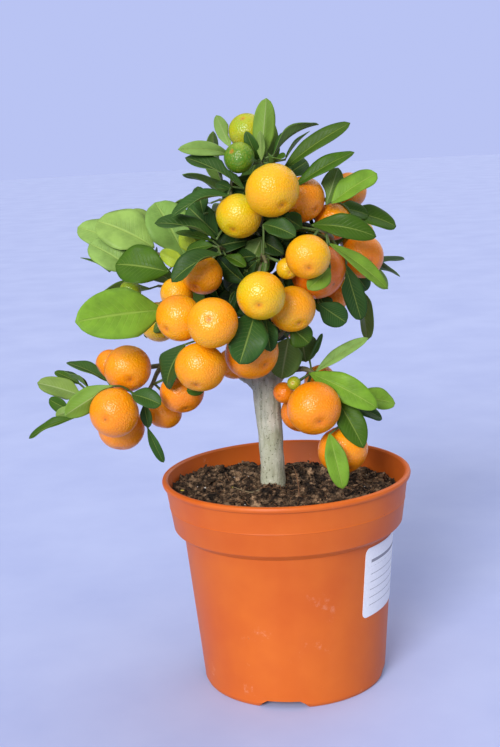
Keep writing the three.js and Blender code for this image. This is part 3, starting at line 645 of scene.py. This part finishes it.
def smooth_path(points, count):
    """count + 1 evenly spaced points on a smooth curve through the points."""
    points = [Vector(p) for p in points]
    ends = [2 * points[0] - points[1], *points, 2 * points[-1] - points[-2]]
    fine = []
    for before, start, end, after in zip(ends, ends[1:], ends[2:], ends[3:]):
        for k in range(CURVE_STEPS):
            t = k / CURVE_STEPS
            bend = 2 * before - 5 * start + 4 * end - after
            twist = 3 * start - before - 3 * end + after
            fine.append(0.5 * (2 * start + (end - before) * t + bend * t * t + twist * t ** 3))
    fine.append(points[-1])
    steps = [(b - a).length for a, b in zip(fine, fine[1:])]
    total, spaced, run, i = sum(steps), [fine[0]], 0.0, 0
    for k in range(1, count):
        while run + steps[i] < total * k / count:
            run += steps[i]
            i += 1
        spaced.append(fine[i].lerp(fine[i + 1], (total * k / count - run) / steps[i]))
    return [*spaced, fine[-1]]


def read(values, t):
    """The value at t of a list spread evenly from 0 to 1."""
    where = t * (len(values) - 1)
    low = min(int(where), len(values) - 2)
    return values[low] + (values[low + 1] - values[low]) * (where - low)


SAME_PLACE = 1e-7


def tube(bm, points, radii, sides, tint=None, layer=None):
    """A closed round tube through points in the plan, its radii spread evenly along it."""
    count = len(points) - 1
    grid = bmesh.ops.create_grid(bm, x_segments=sides, y_segments=count, size=1)["verts"]
    tangents = [(points[min(i + 1, count)] - points[max(i - 1, 0)]).normalized() for i in range(count + 1)]
    side = tangents[0].orthogonal().normalized()
    rings = []
    for tangent in tangents:
        side = (side - tangent * side.dot(tangent)).normalized()
        rings.append((side, tangent.cross(side)))
    for v in grid:
        angle, step = (v.co.x + 1) * math.pi, round((v.co.y + 1) / 2 * count)
        across, over = rings[step]
        radius = read(radii, step / count)
        v.co = placed(points[step] + (across * math.cos(angle) + over * math.sin(angle)) * radius)
        if layer:
            v[layer] = tint
    bmesh.ops.remove_doubles(bm, verts=grid, dist=SAME_PLACE)
    alive = [v for v in grid if v.is_valid]
    rims = [e for e in {e for v in alive for e in v.link_edges} if e.is_boundary]
    bmesh.ops.holes_fill(bm, edges=rims, sides=sides)


FRUIT_SPHERES = [(Vector(at), across / 2) for at, across, _, _ in FRUIT]


def fruit_near(point, reach):
    """The fruit that come within reach of a point."""
    return [(middle, radius) for middle, radius in FRUIT_SPHERES if (point - middle).length < radius + reach]


def clear_of_fruit(point, margin, spheres=FRUIT_SPHERES):
    """A point in the plan moved out of the fruit, to stand margin clear of the peel."""
    point = Vector(point)
    for _ in range(2):
        for middle, radius in spheres:
            away = point - middle
            if away.length < radius + margin:
                point = middle + away.normalized() * (radius + margin)
    return point


# ---------------------------------------------------------------- pot, label and soil

# Radii and heights; foot is how wide the ring under the wall is, and floor how high the base stands.
POT = dict(rim=85, height=145, lip=4, band_top=83, band_foot=78.5, band_height=111, body_top=72,
           body_height=106, base=63, wall=2, foot=4, floor=5)
MOULD_LINE = dict(radius=80.95, height=126.0)
NOTCH = dict(count=4, foot=33, top=24, height=4.8, first=-98)
DRAIN = dict(count=8, radius=4, circle=44)


def body_radius(height):
    return POT["base"] + (POT["body_top"] - POT["base"]) * height / POT["body_height"]


def pot_profile():
    """The pot's section, from the middle of its underside round the rim to the middle of its floor."""
    height, wall, lip = POT["height"], POT["wall"], POT["lip"]
    foot_inside = POT["base"] - POT["foot"]
    line_radius, line_height = MOULD_LINE["radius"], MOULD_LINE["height"]
    underside = [(0, POT["floor"]), (foot_inside, POT["floor"]), (foot_inside, 0), (POT["base"] - 0.9, 0)]
    step_over_foot = [(body_radius(2.6) + 0.1, 2.6), (body_radius(3.4), 3.4)]
    body = [(body_radius(up), up) for up in (6, 9, 60, POT["body_height"])]
    band_foot = [(POT["band_foot"] - 0.8, POT["band_height"] - 1), (POT["band_foot"], POT["band_height"])]
    mould_line = [(line_radius - 0.35, line_height - 0.4), (line_radius, line_height),
                  (line_radius - 0.2, line_height + 0.5)]
    rolled_rim = [(POT["band_top"] - 0.2, height - lip - 0.6), (POT["band_top"] + 0.3, height - lip),
                  (POT["rim"] - 0.4, height - lip + 0.5), (POT["rim"], height - 2),
                  (POT["rim"] - 0.4, height - 0.6), (POT["rim"] - 1.4, height),
                  (POT["band_top"] - wall + 1.2, height)]
    inside = [(POT["band_top"] - wall, height - 1), (POT["band_foot"] - wall, POT["band_height"] + wall / 2),
              (POT["body_top"] - wall, POT["body_height"]),
              (body_radius(POT["floor"]) - wall - 1.5, POT["floor"] + wall), (0, POT["floor"] + wall)]
    return underside + step_over_foot + body + band_foot + mould_line + rolled_rim + inside


def notch_rise(turn):
    """How high the foot is lifted at a turn in degrees: a trapezoid over each notch."""
    step = 360 / NOTCH["count"]
    apart = min(abs((turn - NOTCH["first"] - step * i + 180) % 360 - 180) for i in range(NOTCH["count"]))
    off_middle = math.radians(apart) * POT["base"]
    slope = (NOTCH["foot"] / 2 - off_middle) / ((NOTCH["foot"] - NOTCH["top"]) / 2)
    return min(max(slope, 0), 1) * NOTCH["height"] * MM


def drain_drills():
    """The cylinders that take out the drain holes."""
    drills = bmesh.new()
    radius = DRAIN["radius"] * MM
    for i in range(DRAIN["count"]):
        turn = math.tau * i / DRAIN["count"]
        spot = (DRAIN["circle"] * math.cos(turn), DRAIN["circle"] * math.sin(turn), POT["floor"] + 1)
        bmesh.ops.create_cone(drills, cap_ends=True, segments=24, radius1=radius, radius2=radius,
                              depth=6 * MM, matrix=Matrix.Translation(placed(spot)))
    return drills


def build_pot(plastic):
    """The nursery pot, spun from its section, with a notched foot and drain holes."""
    bm = bmesh.new()
    points = [bm.verts.new(placed((radius, 0, up))) for radius, up in pot_profile()]
    edges = [bm.edges.new(pair) for pair in zip(points, points[1:])]
    bmesh.ops.spin(bm, geom=points + edges, cent=AXIS, axis=(0, 0, 1), angle=math.tau, steps=180,
                   use_merge=True)
    bmesh.ops.remove_doubles(bm, verts=bm.verts, dist=1e-6)
    for v in bm.verts:
        off = v.co - AXIS
        if math.hypot(off.x, off.y) > (POT["base"] - POT["foot"] - 0.1) * MM:
            v.co.z = max(v.co.z, notch_rise(math.degrees(math.atan2(off.y, off.x))))
    bmesh.ops.recalc_face_normals(bm, faces=bm.faces)
    pot = piece("nursery_pot", bm, [plastic], "pot_plastic", "pot")
    cut(pot, drain_drills())
    soften = pot.modifiers.new("rounded_edges", "BEVEL")
    soften.width, soften.segments, soften.limit_method = 0.35 * MM, 2, "ANGLE"
    soften.angle_limit = math.radians(28)


def cut(obj, drills):
    """Takes the drills out of the piece."""
    mesh = bpy.data.meshes.new("drills")
    drills.to_mesh(mesh)
    drills.free()
    tool = bpy.data.objects.new("drills", mesh)
    bpy.context.scene.collection.objects.link(tool)
    boolean = obj.modifiers.new("holes", "BOOLEAN")
    boolean.object, boolean.operation, boolean.solver = tool, "DIFFERENCE", "EXACT"
    apply_modifiers(obj)
    bpy.data.objects.remove(tool)


def apply_modifiers(obj):
    """Bakes the piece's modifiers into its mesh."""
    evaluated = obj.evaluated_get(bpy.context.evaluated_depsgraph_get())
    mesh = bpy.data.meshes.new_from_object(evaluated)
    obj.modifiers.clear()
    obj.data = mesh


# Heights in millimetres, the first edge and the span in degrees; clear is its gap and thick its paper.
LABEL = dict(low=55, high=104, first=-47, span=50, corner=4, tilt=0.035, clear=0.35, thick=0.2)


def build_label(paper):
    """A thin sheet round the pot with rounded corners."""
    bm = bmesh.new()
    sheet = bm.loops.layers.uv.new("sheet")
    bmesh.ops.create_grid(bm, x_segments=40, y_segments=24, size=1)
    bend = body_radius(80)
    wide = math.radians(LABEL["span"]) * bend
    high = LABEL["high"] - LABEL["low"]
    in_x, in_y = wide / 2 - LABEL["corner"], high / 2 - LABEL["corner"]
    flat = {}
    for v in bm.verts:
        x, y = v.co.x * wide / 2, v.co.y * high / 2
        over = Vector((max(abs(x) - in_x, 0), max(abs(y) - in_y, 0)))
        reach = max(over.x, over.y)
        if over.x > 0 and over.y > 0:
            over = over.normalized() * reach
            x, y = math.copysign(in_x + over.x, x), math.copysign(in_y + over.y, y)
        flat[v] = (x, y)
    for face in bm.faces:
        for loop in face.loops:
            x, y = flat[loop.vert]
            loop[sheet].uv = (x / wide + 0.5, y / high + 0.5)
    for v, (x, y) in flat.items():
        up = LABEL["low"] + high / 2 + y
        turn = math.radians(LABEL["first"] + LABEL["span"] / 2) + (x + LABEL["tilt"] * y) / bend
        radius = body_radius(up) + LABEL["clear"]
        v.co = placed((radius * math.cos(turn), radius * math.sin(turn), up))
    label = piece("paper_label_sheet", bm, [paper], "label_paper", "paper_label", smooth=False)
    thick = label.modifiers.new("paper", "SOLIDIFY")
    thick.thickness, thick.offset = LABEL["thick"] * MM, -1


SOIL_RADIUS = 78.2
SOIL_TOP = 141
# The rings down the soil's side, inside the pot's wall: radius and height.
SOIL_SIDE = ((75.8, 112.7), (69.7, 105.6), (59.0, 7.4))
SOIL = dict(level=135.2, fall_back=0.038, fall_right=0.020, edge_fall=4.0, left_bank=5.5, clods=3.4,
            crumbs=2.1, mound=2.5, mound_spread=260)


def soil_height(x, y):
    """The soil's height: lower at the back and the edge, banked at the left, mounded at the trunk."""
    out = math.hypot(x, y) / SOIL_RADIUS
    level = SOIL["level"] - SOIL["fall_back"] * y - SOIL["fall_right"] * x - SOIL["edge_fall"] * out ** 3
    bank = SOIL["left_bank"] * max(-x / SOIL_RADIUS, 0) ** 2
    clods = SOIL["clods"] * noise.fractal(Vector((x, y, 3.0)) * 0.06, 0.7, 2.1, 4)
    crumbs = SOIL["crumbs"] * noise.fractal(Vector((x, y, 11.0)) * 0.30, 0.5, 2.2, 3)
    mound = SOIL["mound"] * math.exp(-((x - TRUNK_FOOT_X) ** 2 + y ** 2) / SOIL["mound_spread"])
    return min(level + bank + clods + crumbs + mound, SOIL_TOP)


def build_soil(crumb):
    """The soil's crumbled top, and its body down to the pot's floor."""
    bm = bmesh.new()
    bmesh.ops.create_grid(bm, x_segments=150, y_segments=150, size=1)
    for v in bm.verts:
        x = v.co.x * math.sqrt(1 - v.co.y ** 2 / 2) * SOIL_RADIUS
        y = v.co.y * math.sqrt(1 - v.co.x ** 2 / 2) * SOIL_RADIUS
        v.co = placed((x, y, soil_height(x, y)))
    rim = [e for e in bm.edges if e.is_boundary]
    for radius, up in SOIL_SIDE:
        made = bmesh.ops.extrude_edge_only(bm, edges=rim)["geom"]
        rim = [e for e in made if isinstance(e, bmesh.types.BMEdge) and e.is_boundary]
        for v in {v for e in rim for v in e.verts}:
            off = v.co - AXIS
            off.z = 0
            v.co = AXIS + off.normalized() * radius * MM + Vector((0, 0, up * MM))
    bmesh.ops.holes_fill(bm, edges=rim, sides=0)
    bmesh.ops.recalc_face_normals(bm, faces=bm.faces)
    layer = bm.verts.layers.float_color.new("shade")
    for v in bm.verts:
        v[layer] = (1, 1, 1, 1)
    piece("soil_body", bm, [crumb], "potting_soil", "potting_soil")


TRUNK_CLEAR = 10


def scattered(rng, reach):
    """A seeded place on the soil, clear of the trunk."""
    while True:
        angle, out = rng.uniform(0, math.tau), SOIL_RADIUS * reach * math.sqrt(rng.random())
        x, y = out * math.cos(angle), out * math.sin(angle)
        if math.hypot(x - TRUNK_FOOT_X, y) > TRUNK_CLEAR:
            return x, y


CRUMBS = (
    # name, batches, pieces in a batch, sizes, fineness
    ("soil_clods", 2, 110, (1.0, 3.0), 3),
    ("soil_crumbs", 10, 330, (0.35, 1.2), 1),
    ("soil_grit", 1, 60, (0.25, 0.6), 1),
)


CRUMB_LUMPS = 0.75


def add_crumb(bm, layer, rng, size, fineness):
    """One lumpy crumb lying on the soil."""
    x, y = scattered(rng, 0.95)
    ball = bmesh.ops.create_icosphere(bm, subdivisions=fineness, radius=size * MM)["verts"]
    seed = Vector((rng.uniform(0, 50), rng.uniform(0, 50), rng.uniform(0, 50)))
    squash = Vector((rng.uniform(0.7, 1.3), rng.uniform(0.7, 1.3), rng.uniform(0.5, 0.9)))
    at = placed((x, y, soil_height(x, y) + 0.3 * size))
    shade = rng.uniform(0.45, 1.9)
    for v in ball:
        lump = 1 + CRUMB_LUMPS * noise.fractal(v.co / (size * MM) * 1.5 + seed, 0.6, 2.1, 3)
        v.co = v.co * squash * lump + at
        v[layer] = (shade, shade, shade, 1)


def build_crumbs(crumb, pale, rng):
    """Loose clods, crumbs and pale grit on the soil."""
    for name, batches, number, sizes, fineness in CRUMBS:
        for batch in range(batches):
            bm = bmesh.new()
            layer = bm.verts.layers.float_color.new("shade")
            for _ in range(number):
                add_crumb(bm, layer, rng, rng.uniform(*sizes), fineness)
            made = pale if name == "soil_grit" else crumb
            piece("%s_%d" % (name, batch + 1), bm, [made], "potting_soil", smooth=fineness > 1)


FIBRES = 170
ROOTLET = ((5, -8, 150), (7, -14, 146), (8, -26, 140), (8, -38, 138), (10, -52, 138), (12, -66, 138))


def build_fibres(fibre, rng):
    """Coir fibres lying on the soil, and one long rootlet that stands up out of it."""
    bm = bmesh.new()
    for _ in range(FIBRES):
        x, y = scattered(rng, 0.9)
        turn, long, bend = rng.uniform(0, math.tau), rng.uniform(4, 13), rng.uniform(-0.9, 0.9)
        path = []
        for k in range(5):
            t = k / 4
            x += long / 4 * math.cos(turn + bend * t)
            y += long / 4 * math.sin(turn + bend * t)
            if math.hypot(x, y) > SOIL_RADIUS - 3:
                break
            path.append(Vector((x, y, soil_height(x, y) + 0.5 + 1.2 * math.sin(math.pi * t) * rng.random())))
        if len(path) > 2:
            tube(bm, path, [0.16, 0.24, 0.12], 4)
    tube(bm, smooth_path(ROOTLET, 14), [0.25, 0.5, 0.6, 0.4], 6)
    bmesh.ops.recalc_face_normals(bm, faces=bm.faces)
    piece("soil_fibres", bm, [fibre], "potting_soil")


SCRAP_STEM = ((-36, -14), (-30, -20), (-24, -24), (-18, -26))
SCRAPS = ((-38, -12, 2.2), (-70, -22, 1.3))


def build_fallen_leaf(made):
    """A dead yellow leaf scrap with its stem, and a yellow speck, on the soil."""
    bm = bmesh.new()
    layer = bm.verts.layers.float_color.new("tint")
    leaf_stem = [Vector((x, y, soil_height(x, y) + 1.2)) for x, y in SCRAP_STEM]
    tube(bm, smooth_path(leaf_stem, 8), [0.3, 0.35, 0.5], 6, SCRAP_BROWN, layer)
    for x, y, size in SCRAPS:
        scrap = bmesh.ops.create_icosphere(bm, subdivisions=2, radius=size * MM)["verts"]
        for v in scrap:
            v.co = Vector((v.co.x, v.co.y * 0.6, v.co.z * 0.25)) + placed((x, y, soil_height(x, y) + 1.4))
            v[layer] = SCRAP_YELLOW
    bmesh.ops.recalc_face_normals(bm, faces=bm.faces)
    piece("fallen_scraps", bm, [made], "potting_soil")


# ---------------------------------------------------------------- wood, leaves and fruit


BARK_SKIN = dict(cell=0.9, smoothing=6, furrow=0.55, lump=0.5)


def build_trunk(made):
    """The trunk and limbs, grown into one skin, with furrows."""
    bm = bmesh.new()
    for limb in LIMBS:
        steps = 8 * (len(limb) - 1)
        tube(bm, smooth_path([point[:3] for point in limb], steps), [point[3] for point in limb], 20)
    at, radius = KNOT
    knot = bmesh.ops.create_uvsphere(bm, u_segments=24, v_segments=16, radius=radius * MM)["verts"]
    for v in knot:
        v.co = Vector((v.co.x, v.co.y, v.co.z * 0.8)) + placed(at)
    bmesh.ops.recalc_face_normals(bm, faces=bm.faces)
    trunk = piece("trunk_bark", bm, [made], "bark", "trunk_and_limbs")
    skin = trunk.modifiers.new("one_skin", "REMESH")
    skin.mode, skin.voxel_size = "VOXEL", BARK_SKIN["cell"] * MM
    soft = trunk.modifiers.new("soft", "SMOOTH")
    soft.factor, soft.iterations = 0.5, BARK_SKIN["smoothing"]
    apply_modifiers(trunk)
    outward = [v.normal.copy() for v in trunk.data.vertices]
    for v, out in zip(trunk.data.vertices, outward):
        place = (v.co - AXIS) / MM
        ridges = noise.fractal(Vector((place.x * 0.42, place.y * 0.42, place.z * 0.07)), 0.8, 2.0, 3)
        lumps = noise.noise(place * 0.09)
        deep = min(max((place.z - 140) / 70, 0.25), 1.0)
        v.co += out * (BARK_SKIN["furrow"] * deep * ridges + BARK_SKIN["lump"] * lumps) * MM
    trunk.data.polygons.foreach_set("use_smooth", [True] * len(trunk.data.polygons))


def leaf_lines(leaf):
    """A leaf's length, its own directions, and the points of its midrib."""
    base, tip, _, faces, _, arch = leaf[:6]
    start = Vector(base)
    along = Vector(tip) - start
    length = along.length
    along.normalize()
    facing = way_of(faces) if isinstance(faces, str) else faces
    up = (facing - along * facing.dot(along)).normalized()

    def rib(t):
        return start + along * length * t + up * length * (arch / 100) * 4 * t * (1 - t)

    return length, along, up, along.cross(up), rib


def outline(t, point):
    """Half the blade's width at t, over its widest: an ellipse, narrowed to the base and the tip."""
    oval = math.sqrt(max(1 - (2 * t - 1) ** 2, 0)) ** point
    return max(oval * min(1, t / 0.4) ** 0.45, 0.02)


LEAF_ALONG, LEAF_ACROSS = 22, 10
LEAF_CLEAR = 0.55
LEAF_THICK = 0.4


def add_leaf(bm, layer, leaf, rng):
    """One blade, creased at the midrib, with a little curl, twist and waviness of its own."""
    length, along, up, side, rib = leaf_lines(leaf)
    width, fold, tone = leaf[2], leaf[4], leaf[6]
    shade = rng.uniform(0.85, 1.15)
    tint = [channel * shade * rng.uniform(0.94, 1.06) for channel in TONES[tone]]
    twist, wave, phase = rng.uniform(-0.3, 0.3), rng.uniform(0.05, 0.15), rng.uniform(0, 6)
    curl, point = rng.uniform(0.0, 0.05), rng.uniform(0.95, 1.3)
    near = fruit_near((Vector(leaf[0]) + Vector(leaf[1])) / 2, length * 0.5 + width)
    grid = bmesh.ops.create_grid(bm, x_segments=LEAF_ACROSS, y_segments=LEAF_ALONG, size=1, calc_uvs=True)
    for v in grid["verts"]:
        u, t = v.co.x, (v.co.y + 1) / 2
        half = width / 2 * outline(t, point)
        # The two halves lean up from the midrib, and each one bulges a little.
        lean = math.radians(fold) * (0.35 + 0.65 * math.sin(math.pi * min(1, t * 1.15) ** 0.8))
        off = math.sqrt(u * u + 0.004) - 0.063
        rise = half * (off * math.sin(lean) + 0.07 * math.sin(math.pi * abs(u)))
        # The edges are wavy, and the tip curls down.
        rise += half * wave * u * u * math.sin(9 * t + phase + 1.7 * u) - length * curl * t ** 3
        roll = Matrix.Rotation(twist * (t - 0.3), 3, along)
        spot = rib(t) + roll @ (side * (u * half * math.cos(lean)) + up * rise)
        v.co = placed(clear_of_fruit(spot, LEAF_CLEAR, near))
        v[layer] = (*tint, 1)
    return rib(0.03)


TWIG_STEPS = 40


def leaves_round(twig, count, tones):
    """Leaves round a twig, each a golden angle on from the last."""
    points = smooth_path(twig, TWIG_STEPS)
    made = []
    for i in range(count):
        k = round(TWIG_STEPS * (0.3 + 0.7 * (i + 0.5) / count))
        along = (points[min(k + 1, TWIG_STEPS)] - points[k - 1]).normalized()
        side = along.cross(Vector((0, 0, 1))).normalized()
        over = side.cross(along)
        outward = (points[k] - CROWN_MIDDLE).normalized()
        angle = GOLDEN_ANGLE * i + 0.6
        way = (side * math.cos(angle) + over * math.sin(angle) + along * 0.5 + outward * 0.4).normalized()
        base = points[k] + way * 7
        long = 40 + 6 * math.sin(3 * i)
        faces = (outward + Vector((0, 0, 0.9))).normalized()
        made.append((base, base + way * long, 0.42 * long, faces, 20, 7, tones[i % len(tones)]))
    return made


# An ellipsoid that the inner leaves stay in, and how far they keep from the fruit.
HEART = dict(middle=Vector((-6, 8, 288)), reach=Vector((50, 42, 62)), clear=4.0)


TRIES_A_LEAF = 60


def leaves_inside(twig, count, rng):
    """Leaves painted near-black as the crown's shade, that fill its heart, between the fruit and out of
    their way.
    """
    points = smooth_path(twig, TWIG_STEPS)
    made = []
    for _ in range(TRIES_A_LEAF * count):
        if len(made) == count:
            break
        start = points[rng.randrange(TWIG_STEPS // 5, TWIG_STEPS + 1)]
        way = Vector((rng.uniform(-1, 1), rng.uniform(-0.5, 1), rng.uniform(-1, 1))).normalized()
        base, long = start + way * 5, rng.uniform(26, 38)
        tip = base + way * long
        off = tip - HEART["middle"]
        reach = HEART["reach"]
        inside = (off.x / reach.x) ** 2 + (off.y / reach.y) ** 2 + (off.z / reach.z) ** 2 < 1
        spine = [base.lerp(tip, t) for t in (0.1, 0.35, 0.6, 0.85, 1.0)]
        if inside and not any(fruit_near(point, HEART["clear"]) for point in spine):
            outward = (base - CROWN_MIDDLE).normalized()
            turn = Vector((rng.uniform(-0.6, 0.6), rng.uniform(-1.0, 0.2), rng.uniform(-0.2, 0.8)))
            wide = rng.uniform(0.42, 0.52) * long
            # These leaves take the near-black inner tone, which paints the shade in the crown.
            made.append((base, tip, wide, (outward + turn).normalized(), 18, 7, "inner"))
    return made


TWIG_RADII = (1.9, 1.6, 1.4, 1.0)
LEAF_STEM_RADII = (0.8, 0.65, 0.75)
STALK_RADII = (0.9, 0.9, 1.1, 1.3)
TWIG_CLEAR, STEM_CLEAR, HEEL_CLEAR = 1.9, 2.0, 0.9


def stem(bm, layer, twig_points, place, radii, tints, own=None):
    """A thin stem from the twigs to a place, led round the fruit in its way, but not its own fruit."""
    start = min(twig_points, key=lambda point: (point - place).length)
    others = [sphere for sphere in FRUIT_SPHERES if sphere[0] != own]
    bends = [clear_of_fruit(start.lerp(place, t), STEM_CLEAR, others) for t in (0.35, 0.7)]
    tube(bm, smooth_path([start, *bends, place], 9), radii, 6, tints, layer)


def add_calyx(bm, layer, crown, blossom, size):
    """The green star that holds a fruit."""
    turn = blossom.to_track_quat("Z", "Y").to_matrix().to_4x4()
    star = bmesh.ops.create_cone(bm, cap_ends=True, segments=10, radius1=1, radius2=0.7, depth=0.5)["verts"]
    for i, v in enumerate(star):
        angle = math.atan2(v.co.y, v.co.x)
        reach = size * (0.72 + 0.28 * math.cos(5 * angle)) * math.hypot(v.co.x, v.co.y)
        droop = 0.8 * reach * reach / (6 * size)
        local = Vector((reach * math.cos(angle), reach * math.sin(angle), v.co.z * 1.6 + droop))
        v.co = placed(crown + (turn @ local))
        v[layer] = CALYX_GREEN


def build_shoot(name, plan, upper, under, young_wood, rng):
    """A shoot: one piece for its leaves and one for its twigs, stalks and calyxes."""
    routes = [[clear_of_fruit(p, TWIG_CLEAR) if i else p for i, p in enumerate(smooth_path(twig, 16))]
              for twig in plan["twigs"]]
    twig_points = [p for route in routes for p in route[4:]]

    leaves = bmesh.new()
    leaves.loops.layers.uv.new("blade")
    leaf_tint = leaves.verts.layers.float_color.new("tint")
    wood = bmesh.new()
    wood_tint = wood.verts.layers.float_color.new("tint")
    for route in routes:
        tube(wood, smooth_path(route, 28), TWIG_RADII, 8, TWIG_BROWN, wood_tint)
    blades = list(plan.get("leaves", ()))
    for twig in plan["twigs"]:
        share = len(plan["twigs"])
        blades += leaves_round(twig, math.ceil(plan.get("fill", 0) / share), FILL_TONES)
        blades += leaves_inside(twig, math.ceil(plan["inner"] / share), rng)
    for leaf in blades:
        heel = clear_of_fruit(add_leaf(leaves, leaf_tint, leaf, rng), HEEL_CLEAR)
        stem(wood, wood_tint, twig_points, heel, LEAF_STEM_RADII, TWIG_GREEN)
    for number in plan["fruit"]:
        at, across, blossom, _ = FRUIT[number - 1]
        blossom = Vector(blossom).normalized()
        crown = Vector(at) - blossom * (across / 2 * 0.91)
        size = 1.4 + across * 0.06
        stalk_end = crown - blossom * 0.6
        stem(wood, wood_tint, twig_points, stalk_end, STALK_RADII, TWIG_GREEN, Vector(at))
        add_calyx(wood, wood_tint, crown, blossom, size)
    bmesh.ops.recalc_face_normals(wood, faces=wood.faces)
    foliage = piece(name + "_leaves", leaves, [upper, under], "leaf", name)
    thick = foliage.modifiers.new("blade", "SOLIDIFY")
    thick.thickness, thick.offset = LEAF_THICK * MM, -1
    thick.material_offset = thick.material_offset_rim = 1
    piece(name + "_twigs", wood, [young_wood], "bark", name)


# Each dimple is its depth and its spread; all are shares of the fruit's radius.
FRUIT_SHAPE = dict(blossom_dimple=(0.10, 0.026), stalk_dimple=(0.09, 0.05), ribs=0.012,
                   lumps=0.014, squash=0.93)


def build_fruit(number, at, across, blossom, ripe, made):
    """One mandarin: slightly flattened, dimpled at both ends, a little uneven."""
    bm = bmesh.new()
    ripe_layer = bm.verts.layers.float.new("ripe")
    polar_layer = bm.verts.layers.float.new("polar")
    bmesh.ops.create_uvsphere(bm, u_segments=56, v_segments=36, radius=1)
    turn = Vector(blossom).to_track_quat("Z", "Y").to_matrix()
    radius = across / 2
    blossom_deep, blossom_wide = FRUIT_SHAPE["blossom_dimple"]
    stalk_deep, stalk_wide = FRUIT_SHAPE["stalk_dimple"]
    for v in bm.verts:
        polar = v.co.z
        dimple = blossom_deep * math.exp(-(1 - polar) / blossom_wide)
        dimple += stalk_deep * math.exp(-(1 + polar) / stalk_wide)
        ribs = FRUIT_SHAPE["ribs"] * math.cos(9 * math.atan2(v.co.y, v.co.x) + number) * max(0, -polar) ** 2
        lumps = FRUIT_SHAPE["lumps"] * noise.noise(v.co * 1.3 + Vector((number * 7, 0, 0)))
        shape = v.co * (1 - dimple + ribs + lumps)
        shape.z *= FRUIT_SHAPE["squash"]
        v.co = placed(Vector(at) + (turn @ shape) * radius)
        v[ripe_layer] = ripe
        v[polar_layer] = polar
    name = "mandarin_%02d" % number
    piece(name + "_fruit", bm, [made], "fruit_peel", name)


# ---------------------------------------------------------------- floor, light and camera


LAMPS = (
    # name, the way it stands, how wide it spreads in degrees, strength, colour
    ("key_softbox", (-0.34, -0.87, 0.44), 26, 3.3, (1.0, 0.985, 0.95)),
    ("top_panel", (0.0, -0.2, 1.0), 110, 1.35, (0.97, 0.98, 1.0)),
    ("back_panel", (0.6, 0.8, 0.5), 60, 0.8, (0.95, 0.97, 1.0)),
)
AMBIENT = ((0.88, 0.91, 1.0), 0.19)
BACKGROUND = ((0.485, 0.55, 0.90), 1.0)
FLOOR_RADIUS = 9


def build_stage():
    """The floor, the background and the lamps."""
    bm = bmesh.new()
    bmesh.ops.create_circle(bm, cap_ends=True, segments=96, radius=FLOOR_RADIUS)
    mesh = bpy.data.meshes.new("floor")
    bm.to_mesh(mesh)
    bm.free()
    mesh.materials.append(floor_cloth())
    floor = bpy.data.objects.new("floor", mesh)
    floor.location.z = -0.0002
    bpy.context.scene.collection.objects.link(floor)

    bpy.context.scene.world = studio_world()
    for name, spot, spread, strength, colour in LAMPS:
        light = bpy.data.lights.new(name, "SUN")
        light.angle, light.energy, light.color = math.radians(spread), strength, colour
        lamp = bpy.data.objects.new(name, light)
        bpy.context.scene.collection.objects.link(lamp)
        lamp.rotation_euler = Vector(spot).to_track_quat("Z", "Y").to_euler()



def studio_world():
    """Soft ambient light, behind a plain pale background."""
    world = bpy.data.worlds.new("studio")
    world.use_nodes = True
    tree = world.node_tree
    ambient = tree.nodes["Background"]
    seen = tree.nodes.new("ShaderNodeBackground")
    for shader, (colour, strength) in ((ambient, AMBIENT), (seen, BACKGROUND)):
        shader.inputs["Color"].default_value = (*colour, 1)
        shader.inputs["Strength"].default_value = strength
    path = tree.nodes.new("ShaderNodeLightPath")
    blend = tree.nodes.new("ShaderNodeMixShader")
    tree.links.new(path.outputs["Is Camera Ray"], blend.inputs[0])
    tree.links.new(ambient.outputs[0], blend.inputs[1])
    tree.links.new(seen.outputs[0], blend.inputs[2])
    tree.links.new(blend.outputs[0], tree.nodes["World Output"].inputs["Surface"])
    return world


CAMERA = dict(at=(0, -849, 385.6), aim=(-21, 0, 214.1), roll=-0.053, lens=61.8)


def build_camera():
    """The camera, looking a little down at the crown."""
    camera = bpy.data.cameras.new("camera")
    camera.lens = CAMERA["lens"]
    camera.dof.use_dof = False
    obj = bpy.data.objects.new("camera", camera)
    bpy.context.scene.collection.objects.link(obj)
    at, aim = placed(CAMERA["at"]), placed(CAMERA["aim"])
    look = (aim - at).to_track_quat("-Z", "Y").to_matrix()
    turn = look @ Matrix.Rotation(CAMERA["roll"], 3, "Z")
    obj.matrix_world = Matrix.Translation(at) @ turn.to_4x4()
    bpy.context.scene.camera = obj


def main():
    rng = random.Random(7)
    bpy.context.scene.view_settings.view_transform = "Standard"
    build_camera()
    build_stage()
    build_pot(pot_plastic())
    build_label(label_paper())
    crumb = soil_crumb()
    build_soil(crumb)
    build_crumbs(crumb, plain_grain("pale_grit", GRIT, 900, 0.6), rng)
    build_fibres(plain_grain("coir_fibre", COIR, 300, 0.8), rng)
    young_wood = tinted("young_wood", 0.55)
    build_fallen_leaf(young_wood)
    build_trunk(bark())
    upper, under = leaf_upper(), leaf_under()
    for name, plan in SHOOTS.items():
        build_shoot(name, plan, upper, under, young_wood, rng)
    skin = peel()
    for number, (at, across, blossom, ripe) in enumerate(FRUIT, 1):
        build_fruit(number, at, across, blossom, ripe, skin)


main()
